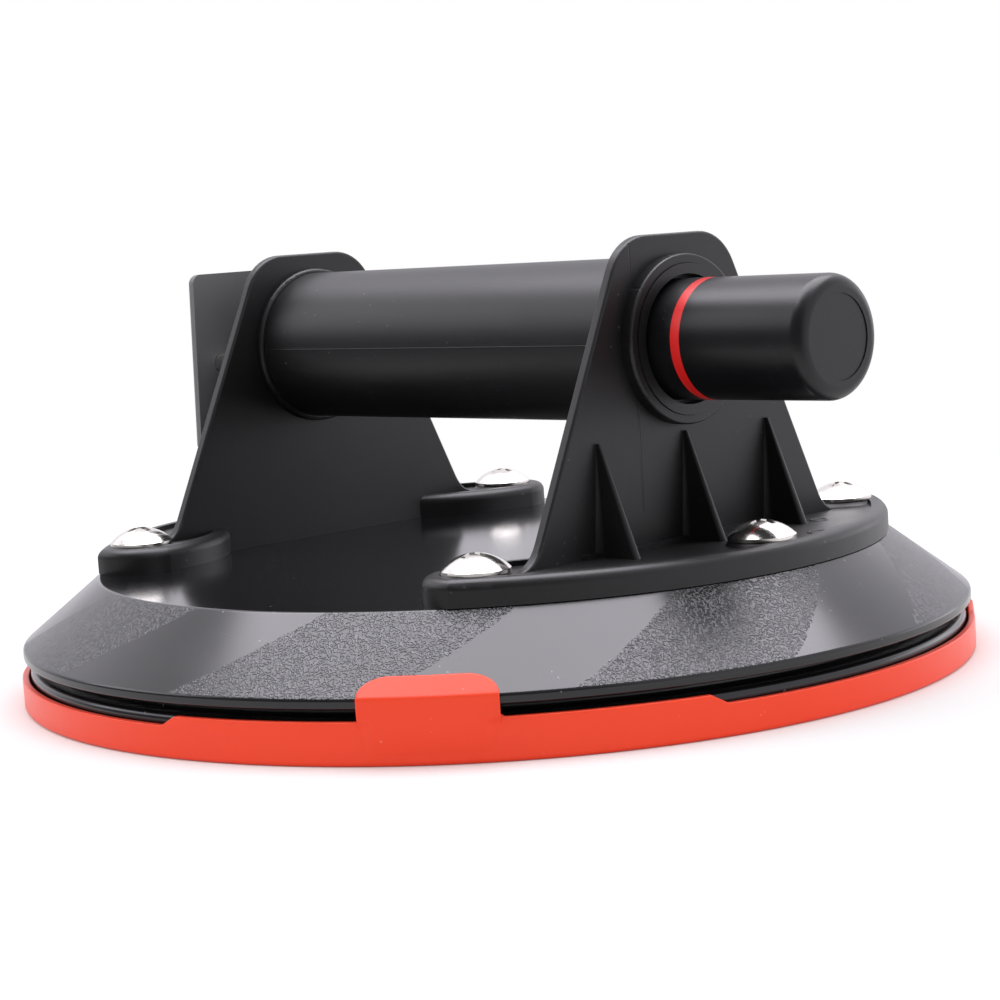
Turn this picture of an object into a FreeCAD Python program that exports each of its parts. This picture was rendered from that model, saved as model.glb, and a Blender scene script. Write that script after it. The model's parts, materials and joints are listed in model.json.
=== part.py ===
import FreeCAD, Part
import math
import os
import re
import Sketcher

# Hand-pump suction cup lifter. Millimetres, +Z up, origin at the centre of the protective
# cover's underside. The pump lies along X: the plunger comes out towards +X and the release
# plate stands at the -X end.

doc = FreeCAD.newDocument("suction_cup_lifter")
sizes = doc.addObject("Spreadsheet::Sheet", "Sizes")

DRIVING = [
    # rubber pad, an 8 inch disc
    ("pad_radius", 101.6),
    ("rim_low_height", 10.3),
    ("rim_top_height", 12.6),
    ("rim_round", 1.1),
    ("groove_depth", 6.1),
    ("lip_inset", 1.2),
    ("lip_top_height", 8.2),
    ("lip_face_width", 5.5),
    ("cone_width", 16.8),
    ("plateau_height", 25.2),
    ("web_height", 11.5),
    ("skirt_inset", 13.6),
    ("skirt_height", 5.0),
    # backing plate, its press nuts and the screws through the feet
    ("screw_inset", 25.6),
    ("backing_margin", 7.0),
    ("backing_thickness", 3.0),
    ("tip_clear", 10.17),
    ("screw_radius", 3.0),
    ("head_radius", 6.7),
    ("head_height", 3.7),
    ("head_edge", 0.7),
    ("cross_reach", 3.3),
    ("cross_width", 1.5),
    ("cross_depth", 2.2),
    ("cross_draft", 12.0),
    ("nut_flats", 10.0),
    ("nut_height", 2.4),
    ("nut_shank_radius", 4.2),
    # protective cover
    ("lip_clearance", 0.4),
    ("cover_wall", 1.4),
    ("cover_floor", 1.6),
    ("cover_low_wall", 6.3),
    ("cover_high_wall", 8.2),
    ("raised_angle", 58.0),
    ("ramp_length", 3.4),
    ("tab_angle", 14.4),
    ("tab_first_angle", -51.1),
    ("tab_thickness", 1.4),
    ("hook_reach", 2.2),
    ("tab_corner", 3.6),
    # handle moulding
    ("axis_drop", 21.0),
    ("grip_radius", 16.5),
    ("bracket_inset", 18.7),
    ("bracket_thickness", 2.4),
    ("bracket_height", 90.4),
    ("bracket_top_half", 15.0),
    ("bracket_slope", 0.473),
    ("bracket_corner", 11.0),
    ("bracket_edge", 0.6),
    ("bracket_flare", 9.0),
    ("flare_angle", 55.0),
    ("collar_radius", 17.5),
    ("collar_width", 1.8),
    ("collar_round", 0.8),
    ("foot_margin", 9.1),
    ("foot_height", 5.2),
    ("foot_edge", 2.0),
    ("tip_radius", 10.2),
    ("arm_radius", 33.0),
    ("tray_rim", 3.4),
    ("tray_depth", 1.0),
    ("tray_bracket_gap", 1.0),
    ("screw_land_radius", 5.2),
    ("rib_spacing", 25.3),
    ("rib_drop", 18.2),
    ("rib_reach", 10.1),
    ("rib_half", 1.15),
    ("rib_toe_half", 0.95),
    ("rib_fillet", 2.2),
    ("rib_apex_reach", 0.9),
    ("rib_apex_half", 0.3),
    ("rib_apex_fillet", 0.45),
    ("rib_sink", 0.25),
    ("bush_boss_radius", 16.9),
    ("bush_boss_length", 2.7),
    ("bush_boss_edge", 0.5),
    ("valve_boss_radius", 12.0),
    ("valve_boss_reach", 9.7),
    ("duct_reach", 4.0),
    ("duct_outer_radius", 4.4),
    ("duct_radius", 1.8),
    ("pin_boss_radius", 4.0),
    ("pin_boss_length", 5.7),
    # pump
    ("barrel_radius", 14.5),
    ("barrel_wall", 1.3),
    ("barrel_inset", 10.9),
    ("valve_plate_thickness", 3.4),
    ("bush_inset", 11.3),
    ("bush_flange_radius", 15.0),
    ("bush_flange_length", 2.2),
    ("bush_proud", 0.3),
    ("bush_mouth_radius", 12.9),
    ("bush_mouth_depth", 3.2),
    ("wiper_radius", 13.5),
    ("wiper_inset", 6.3),
    ("wiper_length", 2.6),
    ("plunger_radius", 12.0),
    ("plunger_wall", 1.6),
    ("plunger_reach", 40.2),
    ("plunger_end_wall", 3.0),
    ("plunger_round", 2.6),
    ("plunger_dimple_radius", 8.2),
    ("plunger_dimple_depth", 0.2),
    ("plunger_stroke", 32.0),
    ("band_reach", 8.3),
    ("band_width", 2.3),
    ("band_depth", 0.5),
    ("piston_length", 11.0),
    ("piston_neck_length", 8.0),
    ("seal_length", 4.2),
    ("seal_depth", 2.4),
    ("seal_offset", 3.4),
    ("spring_radius", 11.0),
    ("spring_wire", 0.75),
    ("spring_turns", 7.0),
    # check valve and release valve
    ("valve_bore", 8.0),
    ("check_cap_radius", 8.6),
    ("check_cap_thickness", 1.4),
    ("check_stem_radius", 1.6),
    ("check_hole_circle", 5.0),
    ("check_hole_radius", 1.1),
    ("plug_length", 3.4),
    ("stem_radius", 2.0),
    ("vent_circle", 4.2),
    ("vent_radius", 0.8),
    ("stem_seal_radius", 6.4),
    ("stem_seal_length", 1.5),
    ("stem_head_radius", 4.4),
    ("stem_head_length", 1.4),
    ("return_spring_radius", 3.4),
    ("return_spring_wire", 0.45),
    ("return_spring_turns", 4.0),
    ("release_travel", 3.2),
    # release plate and its guide pins
    ("plate_reach", 13.7),
    ("plate_thickness", 3.0),
    ("plate_rise", 17.8),
    ("plate_fall", 23.4),
    ("plate_top_half", 21.6),
    ("plate_low_half", 22.9),
    ("plate_corner", 2.2),
    ("plate_edge", 2.0),
    ("pin_spacing", 15.0),
    ("pin_drop", 2.9),
    ("pin_radius", 2.15),
    # air port through the pad
    ("port_radius", 2.6),
    ("port_wall", 0.6),
    ("port_flange", 0.8),
    ("ring_wire", 0.9),
    ("filter_radius", 5.0),
    ("filter_thickness", 0.8),
    # clearances
    ("running_gap", 0.05),
    ("seat_gap", 0.1),
    ("part_gap", 0.3),
    ("thread_gap", 0.1),
]

for row, (alias, number) in enumerate(DRIVING, start=1):
    sizes.set("A%d" % row, alias)
    sizes.set("B%d" % row, str(number))
    sizes.setAlias("B%d" % row, alias)
doc.recompute()

ALIASES = {alias for alias, number in DRIVING}

# Sizes that follow from the driving ones, so that a change of one carries through.
DERIVED = {
    "groove_radius": "(pad_radius - groove_depth)",
    "lip_radius": "(pad_radius - lip_inset)",
    "plateau_radius": "(pad_radius - cone_width)",
    "skirt_radius": "(pad_radius - skirt_inset)",
    "bolt_circle": "(pad_radius - screw_inset)",
    "backing_radius": "(bolt_circle + backing_margin)",
    "cover_radius": "(lip_radius + lip_clearance + cover_wall)",
    "tab_hook_radius": "(pad_radius - hook_reach)",
    "bracket_outer": "(bolt_circle - bracket_inset)",
    "foot_radius": "(bolt_circle + foot_margin)",
    "axis_height": "(bracket_height - axis_drop)",
    "bracket_lean": "atan(bracket_slope)",
    "flare_drop": "(bracket_flare * (sin(flare_angle) - sin(bracket_lean)))",
    "flare_height": "(plateau_height + foot_height + flare_drop)",
    "flare_half": "(bracket_top_half + bracket_slope * (bracket_height - flare_height))",
    "bracket_low_half": "(flare_half + bracket_flare * (cos(bracket_lean) - cos(flare_angle)))",
    "tip_screw_angle": "asin((bracket_low_half + tip_clear) / bolt_circle)",
    "rib_toe": "(bracket_outer + rib_reach)",
    "rib_apex_height": "(axis_height - rib_drop)",
    "plate_top_height": "(axis_height + plate_rise)",
    "plate_low_height": "(axis_height - plate_fall)",
    "pin_height": "(axis_height - pin_drop)",
    "valve_boss_end": "(bracket_outer + valve_boss_reach)",
    "duct_place": "(bracket_outer + duct_reach)",
    "barrel_left": "(bracket_outer - barrel_inset)",
    "bush_left": "(bracket_outer - bush_inset)",
    "wiper_left": "(bracket_outer - wiper_inset)",
    "plunger_end": "(bracket_outer + plunger_reach)",
    "band_place": "(bracket_outer + band_reach)",
    "plate_place": "(bracket_outer + plate_reach)",
}
WORD = re.compile(r"[a-z_]+")
TAB_COUNT = 3
RUNS_PER_TURN = 12
TIP_SIGNS = ((1, 1), (1, -1), (-1, 1), (-1, -1))


# Writes derived sizes out in driving ones and puts the sheet's name in front of every alias.
def formula(text):
    text = str(text)
    while any(word in DERIVED for word in WORD.findall(text)):
        text = WORD.sub(lambda m: DERIVED.get(m.group(), m.group()), text)
    return WORD.sub(lambda m: "Sizes." + m.group() if m.group() in ALIASES else m.group(), text)


def number(text):
    return float(sizes.evalExpression(formula(text)))


def bind(thing, prop, text):
    thing.setExpression(prop, formula(text))


def new_body(label):
    body = doc.addObject("PartDesign::Body", label)
    body.Label = label
    return body


# Starts a sketch on one of the body's own origin planes, lifted along the plane's normal and
# shifted within it.
def new_sketch(body, name, plane, lift="0", shift_up="0"):
    sketch = body.newObject("Sketcher::SketchObject", body.Name + "_" + name)
    support = [part for part in body.Origin.OriginFeatures if part.Role == plane][0]
    sketch.AttachmentSupport = (support, "")
    sketch.MapMode = "FlatFace"
    bind(sketch, "AttachmentOffset.Base.z", lift)
    bind(sketch, "AttachmentOffset.Base.y", shift_up)
    return sketch


def pin_point(sketch, edge, end, name, across, up):
    for axis, text in (("X", across), ("Y", up)):
        rule = sketch.addConstraint(Sketcher.Constraint("Distance" + axis, -1, 1, edge, end, number(text)))
        sketch.renameConstraint(rule, name + axis.lower())
        bind(sketch, "Constraints." + name + axis.lower(), text)


def pin_radius(sketch, edge, name, text):
    rule = sketch.addConstraint(Sketcher.Constraint("Radius", edge, number(text)))
    sketch.renameConstraint(rule, name)
    bind(sketch, "Constraints." + name, text)


# Centre of an arc of a given radius from one point to another, on the left (side 1) or on the
# right (side -1) of the way from the first to the second.
def arc_centre(first, last, radius, side):
    chord = last - first
    rise = math.sqrt(max(radius ** 2 - (chord.Length / 2) ** 2, 0.0))
    left = FreeCAD.Vector(-chord.y, chord.x, 0).normalize()
    return (first + last) / 2 + left * rise * side


# Draws a closed outline through corners given as formulas. An entry in arcs turns the edge that
# starts at that corner into an arc: its radius, and the side on which its centre lies.
def outline(sketch, corners, arcs=None):
    arcs = arcs or {}
    points = [FreeCAD.Vector(number(across), number(up), 0) for across, up in corners]
    starts = {}
    ends = {}
    first_edge = sketch.GeometryCount
    for index, point in enumerate(points):
        following = points[(index + 1) % len(points)]
        starts[index], ends[index] = 1, 2
        if index in arcs:
            radius, side = number(arcs[index][0]), arcs[index][1]
            centre = arc_centre(point, following, radius, side)
            circle = Part.Circle(centre, FreeCAD.Vector(0, 0, 1), radius)
            low, high = (point, following) if side > 0 else (following, point)
            begin = math.atan2(low.y - centre.y, low.x - centre.x)
            finish = math.atan2(high.y - centre.y, high.x - centre.x)
            if finish <= begin:
                finish += 2 * math.pi
            sketch.addGeometry(Part.ArcOfCircle(circle, begin, finish), False)
            if side < 0:
                starts[index], ends[index] = 2, 1
        else:
            sketch.addGeometry(Part.LineSegment(point, following), False)
    for index in range(len(points)):
        following = (index + 1) % len(points)
        sketch.addConstraint(Sketcher.Constraint(
            "Coincident", first_edge + index, ends[index], first_edge + following, starts[following]))
    for index, (across, up) in enumerate(corners):
        pin_point(sketch, first_edge + index, starts[index], "corner%d_%d" % (first_edge, index), across, up)
        if index in arcs:
            pin_radius(sketch, first_edge + index, "bend%d_%d" % (first_edge, index), arcs[index][0])


def circles(sketch, centres, radius):
    for across, up in centres:
        middle = FreeCAD.Vector(number(across), number(up), 0)
        edge = sketch.addGeometry(Part.Circle(middle, FreeCAD.Vector(0, 0, 1), number(radius)), False)
        pin_point(sketch, edge, 3, "middle%d" % edge, across, up)
        pin_radius(sketch, edge, "round%d" % edge, radius)


# Adds or cuts the sketch along its normal. A cut has to take material away.
def pad(body, name, sketch, length, middle=False, backwards=False):
    feature = body.newObject("PartDesign::Pad", body.Name + "_" + name)
    feature.Profile = sketch
    bind(feature, "Length", length)
    feature.Midplane = middle
    feature.Reversed = backwards
    doc.recompute()
    return feature


def pocket(body, name, sketch, depth, backwards=False, draft=None):
    before = body.Shape.Volume
    feature = body.newObject("PartDesign::Pocket", body.Name + "_" + name)
    feature.Profile = sketch
    bind(feature, "Length", depth)
    feature.Reversed = backwards
    if draft:
        bind(feature, "TaperAngle", "-(%s)" % draft)
    doc.recompute()
    if feature.Shape.Volume > before - 1e-6:
        raise RuntimeError(feature.Name + " cuts nothing")
    return feature


def spin(body, name, sketch, axis, kind="Revolution", angle="360"):
    feature = body.newObject("PartDesign::" + kind, body.Name + "_" + name)
    feature.Profile = sketch
    feature.Midplane = True
    feature.ReferenceAxis = (sketch, [axis])
    bind(feature, "Angle", angle)
    doc.recompute()
    return feature


def loft(body, name, low, high):
    feature = body.newObject("PartDesign::AdditiveLoft", body.Name + "_" + name)
    feature.Profile = low
    feature.Sections = [high]
    feature.Ruled = True
    doc.recompute()
    return feature


def edges_where(shape, test):
    return ["Edge%d" % (place + 1) for place, edge in enumerate(shape.Edges) if test(edge)]


def round_edges(body, name, base, radius, test):
    feature = body.newObject("PartDesign::Fillet", body.Name + "_" + name)
    feature.Base = (base, edges_where(base.Shape, test))
    bind(feature, "Radius", radius)
    doc.recompute()
    return feature


# A turned piece on the pump's axis: corners are (place along X, radius).
def turned_on_pump(label, corners, arcs=None):
    body = new_body(label)
    sketch = new_sketch(body, "profile", "XZ_Plane")
    outline(sketch, corners, arcs)
    spin(body, "turn", sketch, "H_Axis")
    bind(body, "Placement.Base.z", "axis_height")
    return body


# A turned piece on the pad's axis: corners are (radius, height).
def turned_on_pad(label, corners, arcs=None, angle="360"):
    body = new_body(label)
    sketch = new_sketch(body, "profile", "XZ_Plane")
    outline(sketch, corners, arcs)
    spin(body, "turn", sketch, "V_Axis", angle=angle)
    return body


# Copies of one piece at places given as (x, y, z, turn about Z), kept as one group.
def group(label, source, places):
    copies = []
    for count, (across, along, up, turn) in enumerate(places):
        copy = doc.addObject("App::Link", "%s_copy%d" % (label, count))
        copy.LinkedObject = source
        copy.LinkTransform = True
        bind(copy, "Placement.Base.x", across)
        bind(copy, "Placement.Base.y", along)
        bind(copy, "Placement.Base.z", up)
        bind(copy, "Placement.Rotation.Angle", turn)
        copies.append(copy)
    joined = doc.addObject("Part::Compound", label)
    joined.Label = label
    joined.Links = copies
    return joined


def cylinder(label, radius, height, place=("0", "0", "0"), angle="360", turn="0"):
    round_bar = doc.addObject("Part::Cylinder", label)
    bind(round_bar, "Radius", radius)
    bind(round_bar, "Height", height)
    bind(round_bar, "Angle", angle)
    bind(round_bar, "Placement.Base.x", place[0])
    bind(round_bar, "Placement.Base.y", place[1])
    bind(round_bar, "Placement.Base.z", place[2])
    bind(round_bar, "Placement.Rotation.Angle", turn)
    return round_bar


def joined(label, pieces):
    fuse = doc.addObject("Part::MultiFuse", label)
    fuse.Shapes = pieces
    fuse.Refine = True
    return fuse


def combined(kind, label, base, tool):
    result = doc.addObject("Part::" + kind, label)
    result.Base = base
    result.Tool = tool
    return result


def along(edge, axis):
    if not isinstance(edge.Curve, Part.Line):
        return False
    return abs(abs(edge.Curve.Direction.dot(axis)) - 1) < 1e-6


AXIS_X = FreeCAD.Vector(1, 0, 0)
AXIS_Y = FreeCAD.Vector(0, 1, 0)
AXIS_Z = FreeCAD.Vector(0, 0, 1)

# Formulas that several pieces share
TIP_X = "bolt_circle * cos(tip_screw_angle)"
TIP_Y = "bolt_circle * sin(tip_screw_angle)"
BRACKET_INNER = "bracket_outer - bracket_thickness"
FOOT_TOP = "plateau_height + foot_height"
TRAY_FLOOR = FOOT_TOP + " - tray_depth"
SEAL_PLANE = "cover_floor + part_gap"
BACKING_LOW = "web_height - backing_thickness"
BARREL_BORE = "barrel_radius - barrel_wall"
PISTON_RIGHT = "bush_left - part_gap"
PISTON_LEFT = PISTON_RIGHT + " - piston_length"
VALVE_PLATE_LEFT = "barrel_left + valve_plate_thickness + seat_gap"
HANDLE_BORE = "barrel_radius + seat_gap"
PLUG_RIGHT = "valve_boss_end - plug_length"


def screw_centres():
    tips = [("%d * (%s)" % (x, TIP_X), "%d * (%s)" % (y, TIP_Y)) for x, y in TIP_SIGNS]
    return tips + [("bolt_circle", "0"), ("-(bolt_circle)", "0")]


# One foot, seen from above and drawn smaller by inset all round: its outer arc follows the pad's
# edge, its two ends are round about the tip screws and lead through arms to a straight inner edge.
def foot_outline(sketch, inset, straight):
    outer, tip, arm = ("(%s - %s)" % (name, inset) for name in ("foot_radius", "tip_radius", "arm_radius"))
    swing = "acos((%s^2 - bolt_circle^2 - %s^2) / (2 * bolt_circle * %s))" % (outer, tip, tip)
    crease_x = "(%s + %s * cos(tip_screw_angle + %s))" % (TIP_X, tip, swing)
    crease_y = "(%s + %s * sin(tip_screw_angle + %s))" % (TIP_Y, tip, swing)
    arm_middle = "(%s - tip_radius + arm_radius)" % TIP_X
    arm_end = "(%s - sqrt(%s^2 - (%s - %s)^2))" % (TIP_Y, arm, arm_middle, straight)
    half = [(crease_x, crease_y), ("%s - %s" % (TIP_X, tip), "(%s)" % TIP_Y), (straight, arm_end)]
    outline(sketch, half + [(across, "-" + up) for across, up in half[::-1]],
            {0: (tip, 1), 1: (arm, 1), 3: (arm, 1), 4: (tip, 1), 5: (outer, 1)})


# One bracket face: a trapezium with rounded top corners that flares out where it meets the foot.
def bracket_outline(sketch):
    trim = "(bracket_corner * tan((90 deg - bracket_lean) / 2))"
    side_y = "(bracket_top_half + %s * sin(bracket_lean))" % trim
    side_z = "(bracket_height - %s * cos(bracket_lean))" % trim
    flat = "(bracket_top_half - %s)" % trim
    corners = [
        ("-(bracket_low_half)", "plateau_height"),
        ("bracket_low_half", "plateau_height"),
        ("bracket_low_half", FOOT_TOP),
        ("flare_half", "flare_height"),
        (side_y, side_z),
        (flat, "bracket_height"),
        ("-" + flat, "bracket_height"),
        ("-" + side_y, side_z),
        ("-(flare_half)", "flare_height"),
        ("-(bracket_low_half)", FOOT_TOP),
    ]
    top_corner, flare = ("bracket_corner", 1), ("bracket_flare", -1)
    outline(sketch, corners, {2: flare, 4: top_corner, 6: top_corner, 8: flare})


# Level section of a rib: hollow fillets where it leaves the bracket, and a rounded free end.
def rib_section(sketch, middle, reach, half, end_half, fillet):
    root = "(bracket_outer - bracket_thickness / 2)"
    face = "(bracket_outer - rib_sink)"
    side = "(%s + %s)" % (face, fillet)
    end = "(%s - %s)" % (reach, end_half)
    wide = "(%s + %s)" % (half, fillet)
    hollow, nose = (fillet, -1), ("1.05 * " + end_half, 1)
    outline(sketch, [
        (root, "%s - %s" % (middle, wide)),
        (face, "%s - %s" % (middle, wide)),
        (side, "%s - %s" % (middle, half)),
        (end, "%s - %s" % (middle, end_half)),
        (end, "%s + %s" % (middle, end_half)),
        (side, "%s + %s" % (middle, half)),
        (face, "%s + %s" % (middle, wide)),
        (root, "%s + %s" % (middle, wide)),
    ], {1: hollow, 3: nose, 5: hollow})


# Handle: one moulding of two feet, two ribbed brackets, the grip that is also the pump's
# casing, the valve boss with its air duct, and the bosses of the release plate's pins.
def make_handle():
    body = new_body("handle_body")
    foot = new_sketch(body, "foot_outline", "XY_Plane", "plateau_height")
    foot_outline(foot, "0", "(%s)" % BRACKET_INNER)
    mirrored = [pad(body, "foot", foot, "foot_height")]

    tray = new_sketch(body, "tray_outline", "XY_Plane", FOOT_TOP)
    foot_outline(tray, "tray_rim", "(bracket_outer + tray_bracket_gap)")
    mirrored.append(pocket(body, "tray", tray, "tray_depth"))

    land = new_sketch(body, "land_outline", "XY_Plane", TRAY_FLOOR)
    circles(land, [("bolt_circle", "0"), (TIP_X, TIP_Y), (TIP_X, "-(%s)" % TIP_Y)], "screw_land_radius")
    mirrored.append(pad(body, "land", land, "tray_depth"))

    bracket = new_sketch(body, "bracket_outline", "YZ_Plane", BRACKET_INNER)
    bracket_outline(bracket)
    mirrored.append(pad(body, "bracket", bracket, "bracket_thickness"))

    for count, side in enumerate(("-1", "0", "1")):
        middle = "%s * rib_spacing" % side
        low = new_sketch(body, "rib%d_low" % count, "XY_Plane", TRAY_FLOOR + " - tray_depth")
        rib_section(low, middle, "rib_toe", "rib_half", "rib_toe_half", "rib_fillet")
        high = new_sketch(body, "rib%d_high" % count, "XY_Plane", "rib_apex_height")
        rib_section(high, middle, "(bracket_outer + rib_apex_reach)", "rib_apex_half", "rib_apex_half",
                    "rib_apex_fillet")
        mirrored.append(loft(body, "rib%d" % count, low, high))

    mirror = body.newObject("PartDesign::Mirrored", "handle_mirror")
    mirror.Originals = mirrored
    mirror.MirrorPlane = ([part for part in body.Origin.OriginFeatures if part.Role == "YZ_Plane"][0], [""])
    body.Tip = mirror
    doc.recompute()

    grip = new_sketch(body, "grip_profile", "XZ_Plane", shift_up="axis_height")
    collar_edge = "(%s - collar_width)" % BRACKET_INNER
    plate_middle = "(bracket_outer - bracket_thickness / 2)"
    boss_end = "(bracket_outer + bush_boss_length)"
    outline(grip, [
        ("-(valve_boss_end)", "0"),
        (boss_end, "0"),
        (boss_end, "bush_boss_radius"),
        (plate_middle, "bush_boss_radius"),
        (plate_middle, "collar_radius"),
        (collar_edge, "collar_radius"),
        (collar_edge, "grip_radius"),
        ("-" + collar_edge, "grip_radius"),
        ("-" + collar_edge, "collar_radius"),
        ("-" + plate_middle, "collar_radius"),
        ("-" + plate_middle, "valve_boss_radius"),
        ("-(valve_boss_end)", "valve_boss_radius"),
    ])
    spin(body, "grip", grip, "H_Axis")

    duct = new_sketch(body, "duct_outline", "XY_Plane", "plateau_height")
    circles(duct, [("-(duct_place)", "0")], "duct_outer_radius")
    pad(body, "duct", duct, "axis_height - plateau_height - valve_boss_radius / 2")

    pin_boss = new_sketch(body, "pin_boss_outline", "YZ_Plane", "-(%s)" % plate_middle)
    pins = [("pin_spacing", "pin_height"), ("-(pin_spacing)", "pin_height")]
    circles(pin_boss, pins, "pin_boss_radius")
    pad(body, "pin_boss", pin_boss, "pin_boss_length + bracket_thickness / 2", backwards=True)

    bore = new_sketch(body, "bore_profile", "XZ_Plane", shift_up="axis_height")
    flange_seat = "(%s + bush_proud - bush_flange_length - seat_gap)" % boss_end
    outline(bore, [
        ("-(valve_boss_end + part_gap)", "0"),
        ("-(valve_boss_end + part_gap)", "valve_bore"),
        ("-(%s)" % VALVE_PLATE_LEFT, "valve_bore"),
        ("-(%s)" % VALVE_PLATE_LEFT, HANDLE_BORE),
        (flange_seat, HANDLE_BORE),
        (flange_seat, "bush_flange_radius + seat_gap"),
        (boss_end + " + part_gap", "bush_flange_radius + seat_gap"),
        (boss_end + " + part_gap", "0"),
    ])
    spin(body, "bore", bore, "H_Axis", kind="Groove")

    air_hole = new_sketch(body, "air_hole", "XY_Plane", "plateau_height")
    circles(air_hole, [("-(duct_place)", "0")], "duct_radius")
    pocket(body, "air", air_hole, "axis_height - plateau_height", backwards=True)

    ring_seat = new_sketch(body, "ring_seat", "XY_Plane", "plateau_height")
    circles(ring_seat, [("-(duct_place)", "0")], "port_radius + 2 * ring_wire + seat_gap")
    pocket(body, "ring", ring_seat, "2 * ring_wire + seat_gap", backwards=True)

    holes = new_sketch(body, "screw_holes", "XY_Plane", "plateau_height")
    circles(holes, screw_centres(), "screw_radius + thread_gap")
    pocket(body, "holes", holes, "foot_height", backwards=True)

    sockets = new_sketch(body, "pin_sockets", "YZ_Plane", "-(bracket_outer + pin_boss_length)")
    circles(sockets, pins, "pin_radius + running_gap")
    socketed = pocket(body, "sockets", sockets, "pin_boss_length + bracket_thickness / 2", backwards=True)

    faces = (number("bracket_outer"), number(BRACKET_INNER))
    corners = (number("bracket_corner"), number("bracket_flare"))
    top, slope = number("bracket_height"), number("bracket_slope")
    rounded = round_edges(body, "bracket_edges", socketed, "bracket_edge",
                          lambda edge: bracket_rim(edge, faces, corners, top, slope))
    foot_top = number(FOOT_TOP)
    arcs = (number("foot_radius"), number("tip_radius"), number("arm_radius"))
    feet = round_edges(body, "foot_edges", rounded, "foot_edge",
                       lambda edge: foot_rim(edge, foot_top, arcs))
    collar = number("collar_radius")
    collars = [number(collar_edge), -number(collar_edge)]
    beads = round_edges(body, "collar_beads", feet, "collar_round",
                        lambda edge: any(turned_ring(edge, place, collar) for place in collars))
    mouth = (number(boss_end), number("bush_boss_radius"))
    round_edges(body, "boss_edge", beads, "bush_boss_edge", lambda edge: turned_ring(edge, *mouth))
    return body


# True for the outline of a bracket face: its leaning sides, rounded corners and top.
def bracket_rim(edge, faces, corners, top, slope):
    for point in edge.Vertexes:
        if min(abs(abs(point.X) - face) for face in faces) > 1e-4:
            return False
    if isinstance(edge.Curve, Part.Circle):
        return min(abs(edge.Curve.Radius - corner) for corner in corners) < 1e-4
    if along(edge, AXIS_Y):
        return abs(edge.Vertexes[0].Z - top) < 1e-4
    if not isinstance(edge.Curve, Part.Line):
        return False
    way = edge.Curve.Direction
    return abs(abs(way.y) - slope * abs(way.z)) < 1e-4 and abs(way.x) < 1e-4


# True for the arcs of the given radii that bound the top of a foot.
def foot_rim(edge, height, radii):
    if max(abs(point.Z - height) for point in edge.Vertexes) > 1e-4:
        return False
    return isinstance(edge.Curve, Part.Circle) and min(abs(edge.Curve.Radius - size) for size in radii) < 1e-3


# Rubber pad: flat plateau, conical skirt, a rim above a groove, and the sealing lip underneath.
def make_pad():
    cone = "(plateau_height - rim_top_height)"
    body = turned_on_pad("rubber_pad", [
        ("0", "web_height"),
        ("backing_radius + part_gap", "web_height"),
        ("backing_radius + part_gap", BACKING_LOW),
        ("skirt_radius", "skirt_height"),
        ("lip_radius - lip_face_width", SEAL_PLANE),
        ("lip_radius", SEAL_PLANE),
        ("lip_radius", "lip_top_height"),
        ("groove_radius", "lip_top_height"),
        ("groove_radius", "rim_low_height"),
        ("pad_radius", "rim_low_height"),
        ("pad_radius", "rim_top_height"),
        ("plateau_radius", "plateau_height"),
        ("0", "plateau_height"),
    ])

    holes = new_sketch(body, "screw_holes", "XY_Plane", "plateau_height")
    circles(holes, screw_centres(), "screw_radius + thread_gap")
    circles(holes, [("-(duct_place)", "0")], "port_radius + seat_gap")
    drilled = pocket(body, "holes", holes, "plateau_height - web_height")

    rim = (number("pad_radius"), number("rim_top_height"))
    shoulder = (number("plateau_radius"), number("plateau_height"))
    round_edges(body, "rounding", drilled, "rim_round", lambda edge: ring_at(edge, rim) or ring_at(edge, shoulder))
    return body


def make_backing():
    body = turned_on_pad("backing_plate", [
        ("0", BACKING_LOW),
        ("backing_radius", BACKING_LOW),
        ("backing_radius", "web_height"),
        ("0", "web_height"),
    ])
    holes = new_sketch(body, "nut_holes", "XY_Plane", "web_height")
    circles(holes, screw_centres(), "nut_shank_radius + running_gap")
    circles(holes, [("-(duct_place)", "0")], "port_radius + seat_gap")
    pocket(body, "holes", holes, "backing_thickness")
    return body


def make_screws():
    length = "(%s - (%s) + nut_height - part_gap)" % (FOOT_TOP, BACKING_LOW)
    dome = "(head_height - head_edge)"
    screw = turned_on_pad("truss_screw", [
        ("0", "-" + length),
        ("screw_radius", "-" + length),
        ("screw_radius", "0"),
        ("head_radius", "0"),
        ("head_radius", "head_edge"),
        ("0", "head_height"),
    ], {4: ("(head_radius^2 + %s^2) / (2 * %s)" % (dome, dome), 1)})
    cross = new_sketch(screw, "cross", "XY_Plane", "head_height")
    arm = "cross_width / 2"
    quarter = [("cross_reach", "-" + arm), ("cross_reach", arm), (arm, arm)]
    corners = quarter + [("-(%s)" % up, across) for across, up in quarter]
    corners += [("-(%s)" % across, "-(%s)" % up) for across, up in corners]
    outline(cross, corners)
    pocket(screw, "recess", cross, "cross_depth", draft="cross_draft")
    return group("foot_screws", screw, [(x, y, FOOT_TOP, "0") for x, y in screw_centres()])


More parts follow.
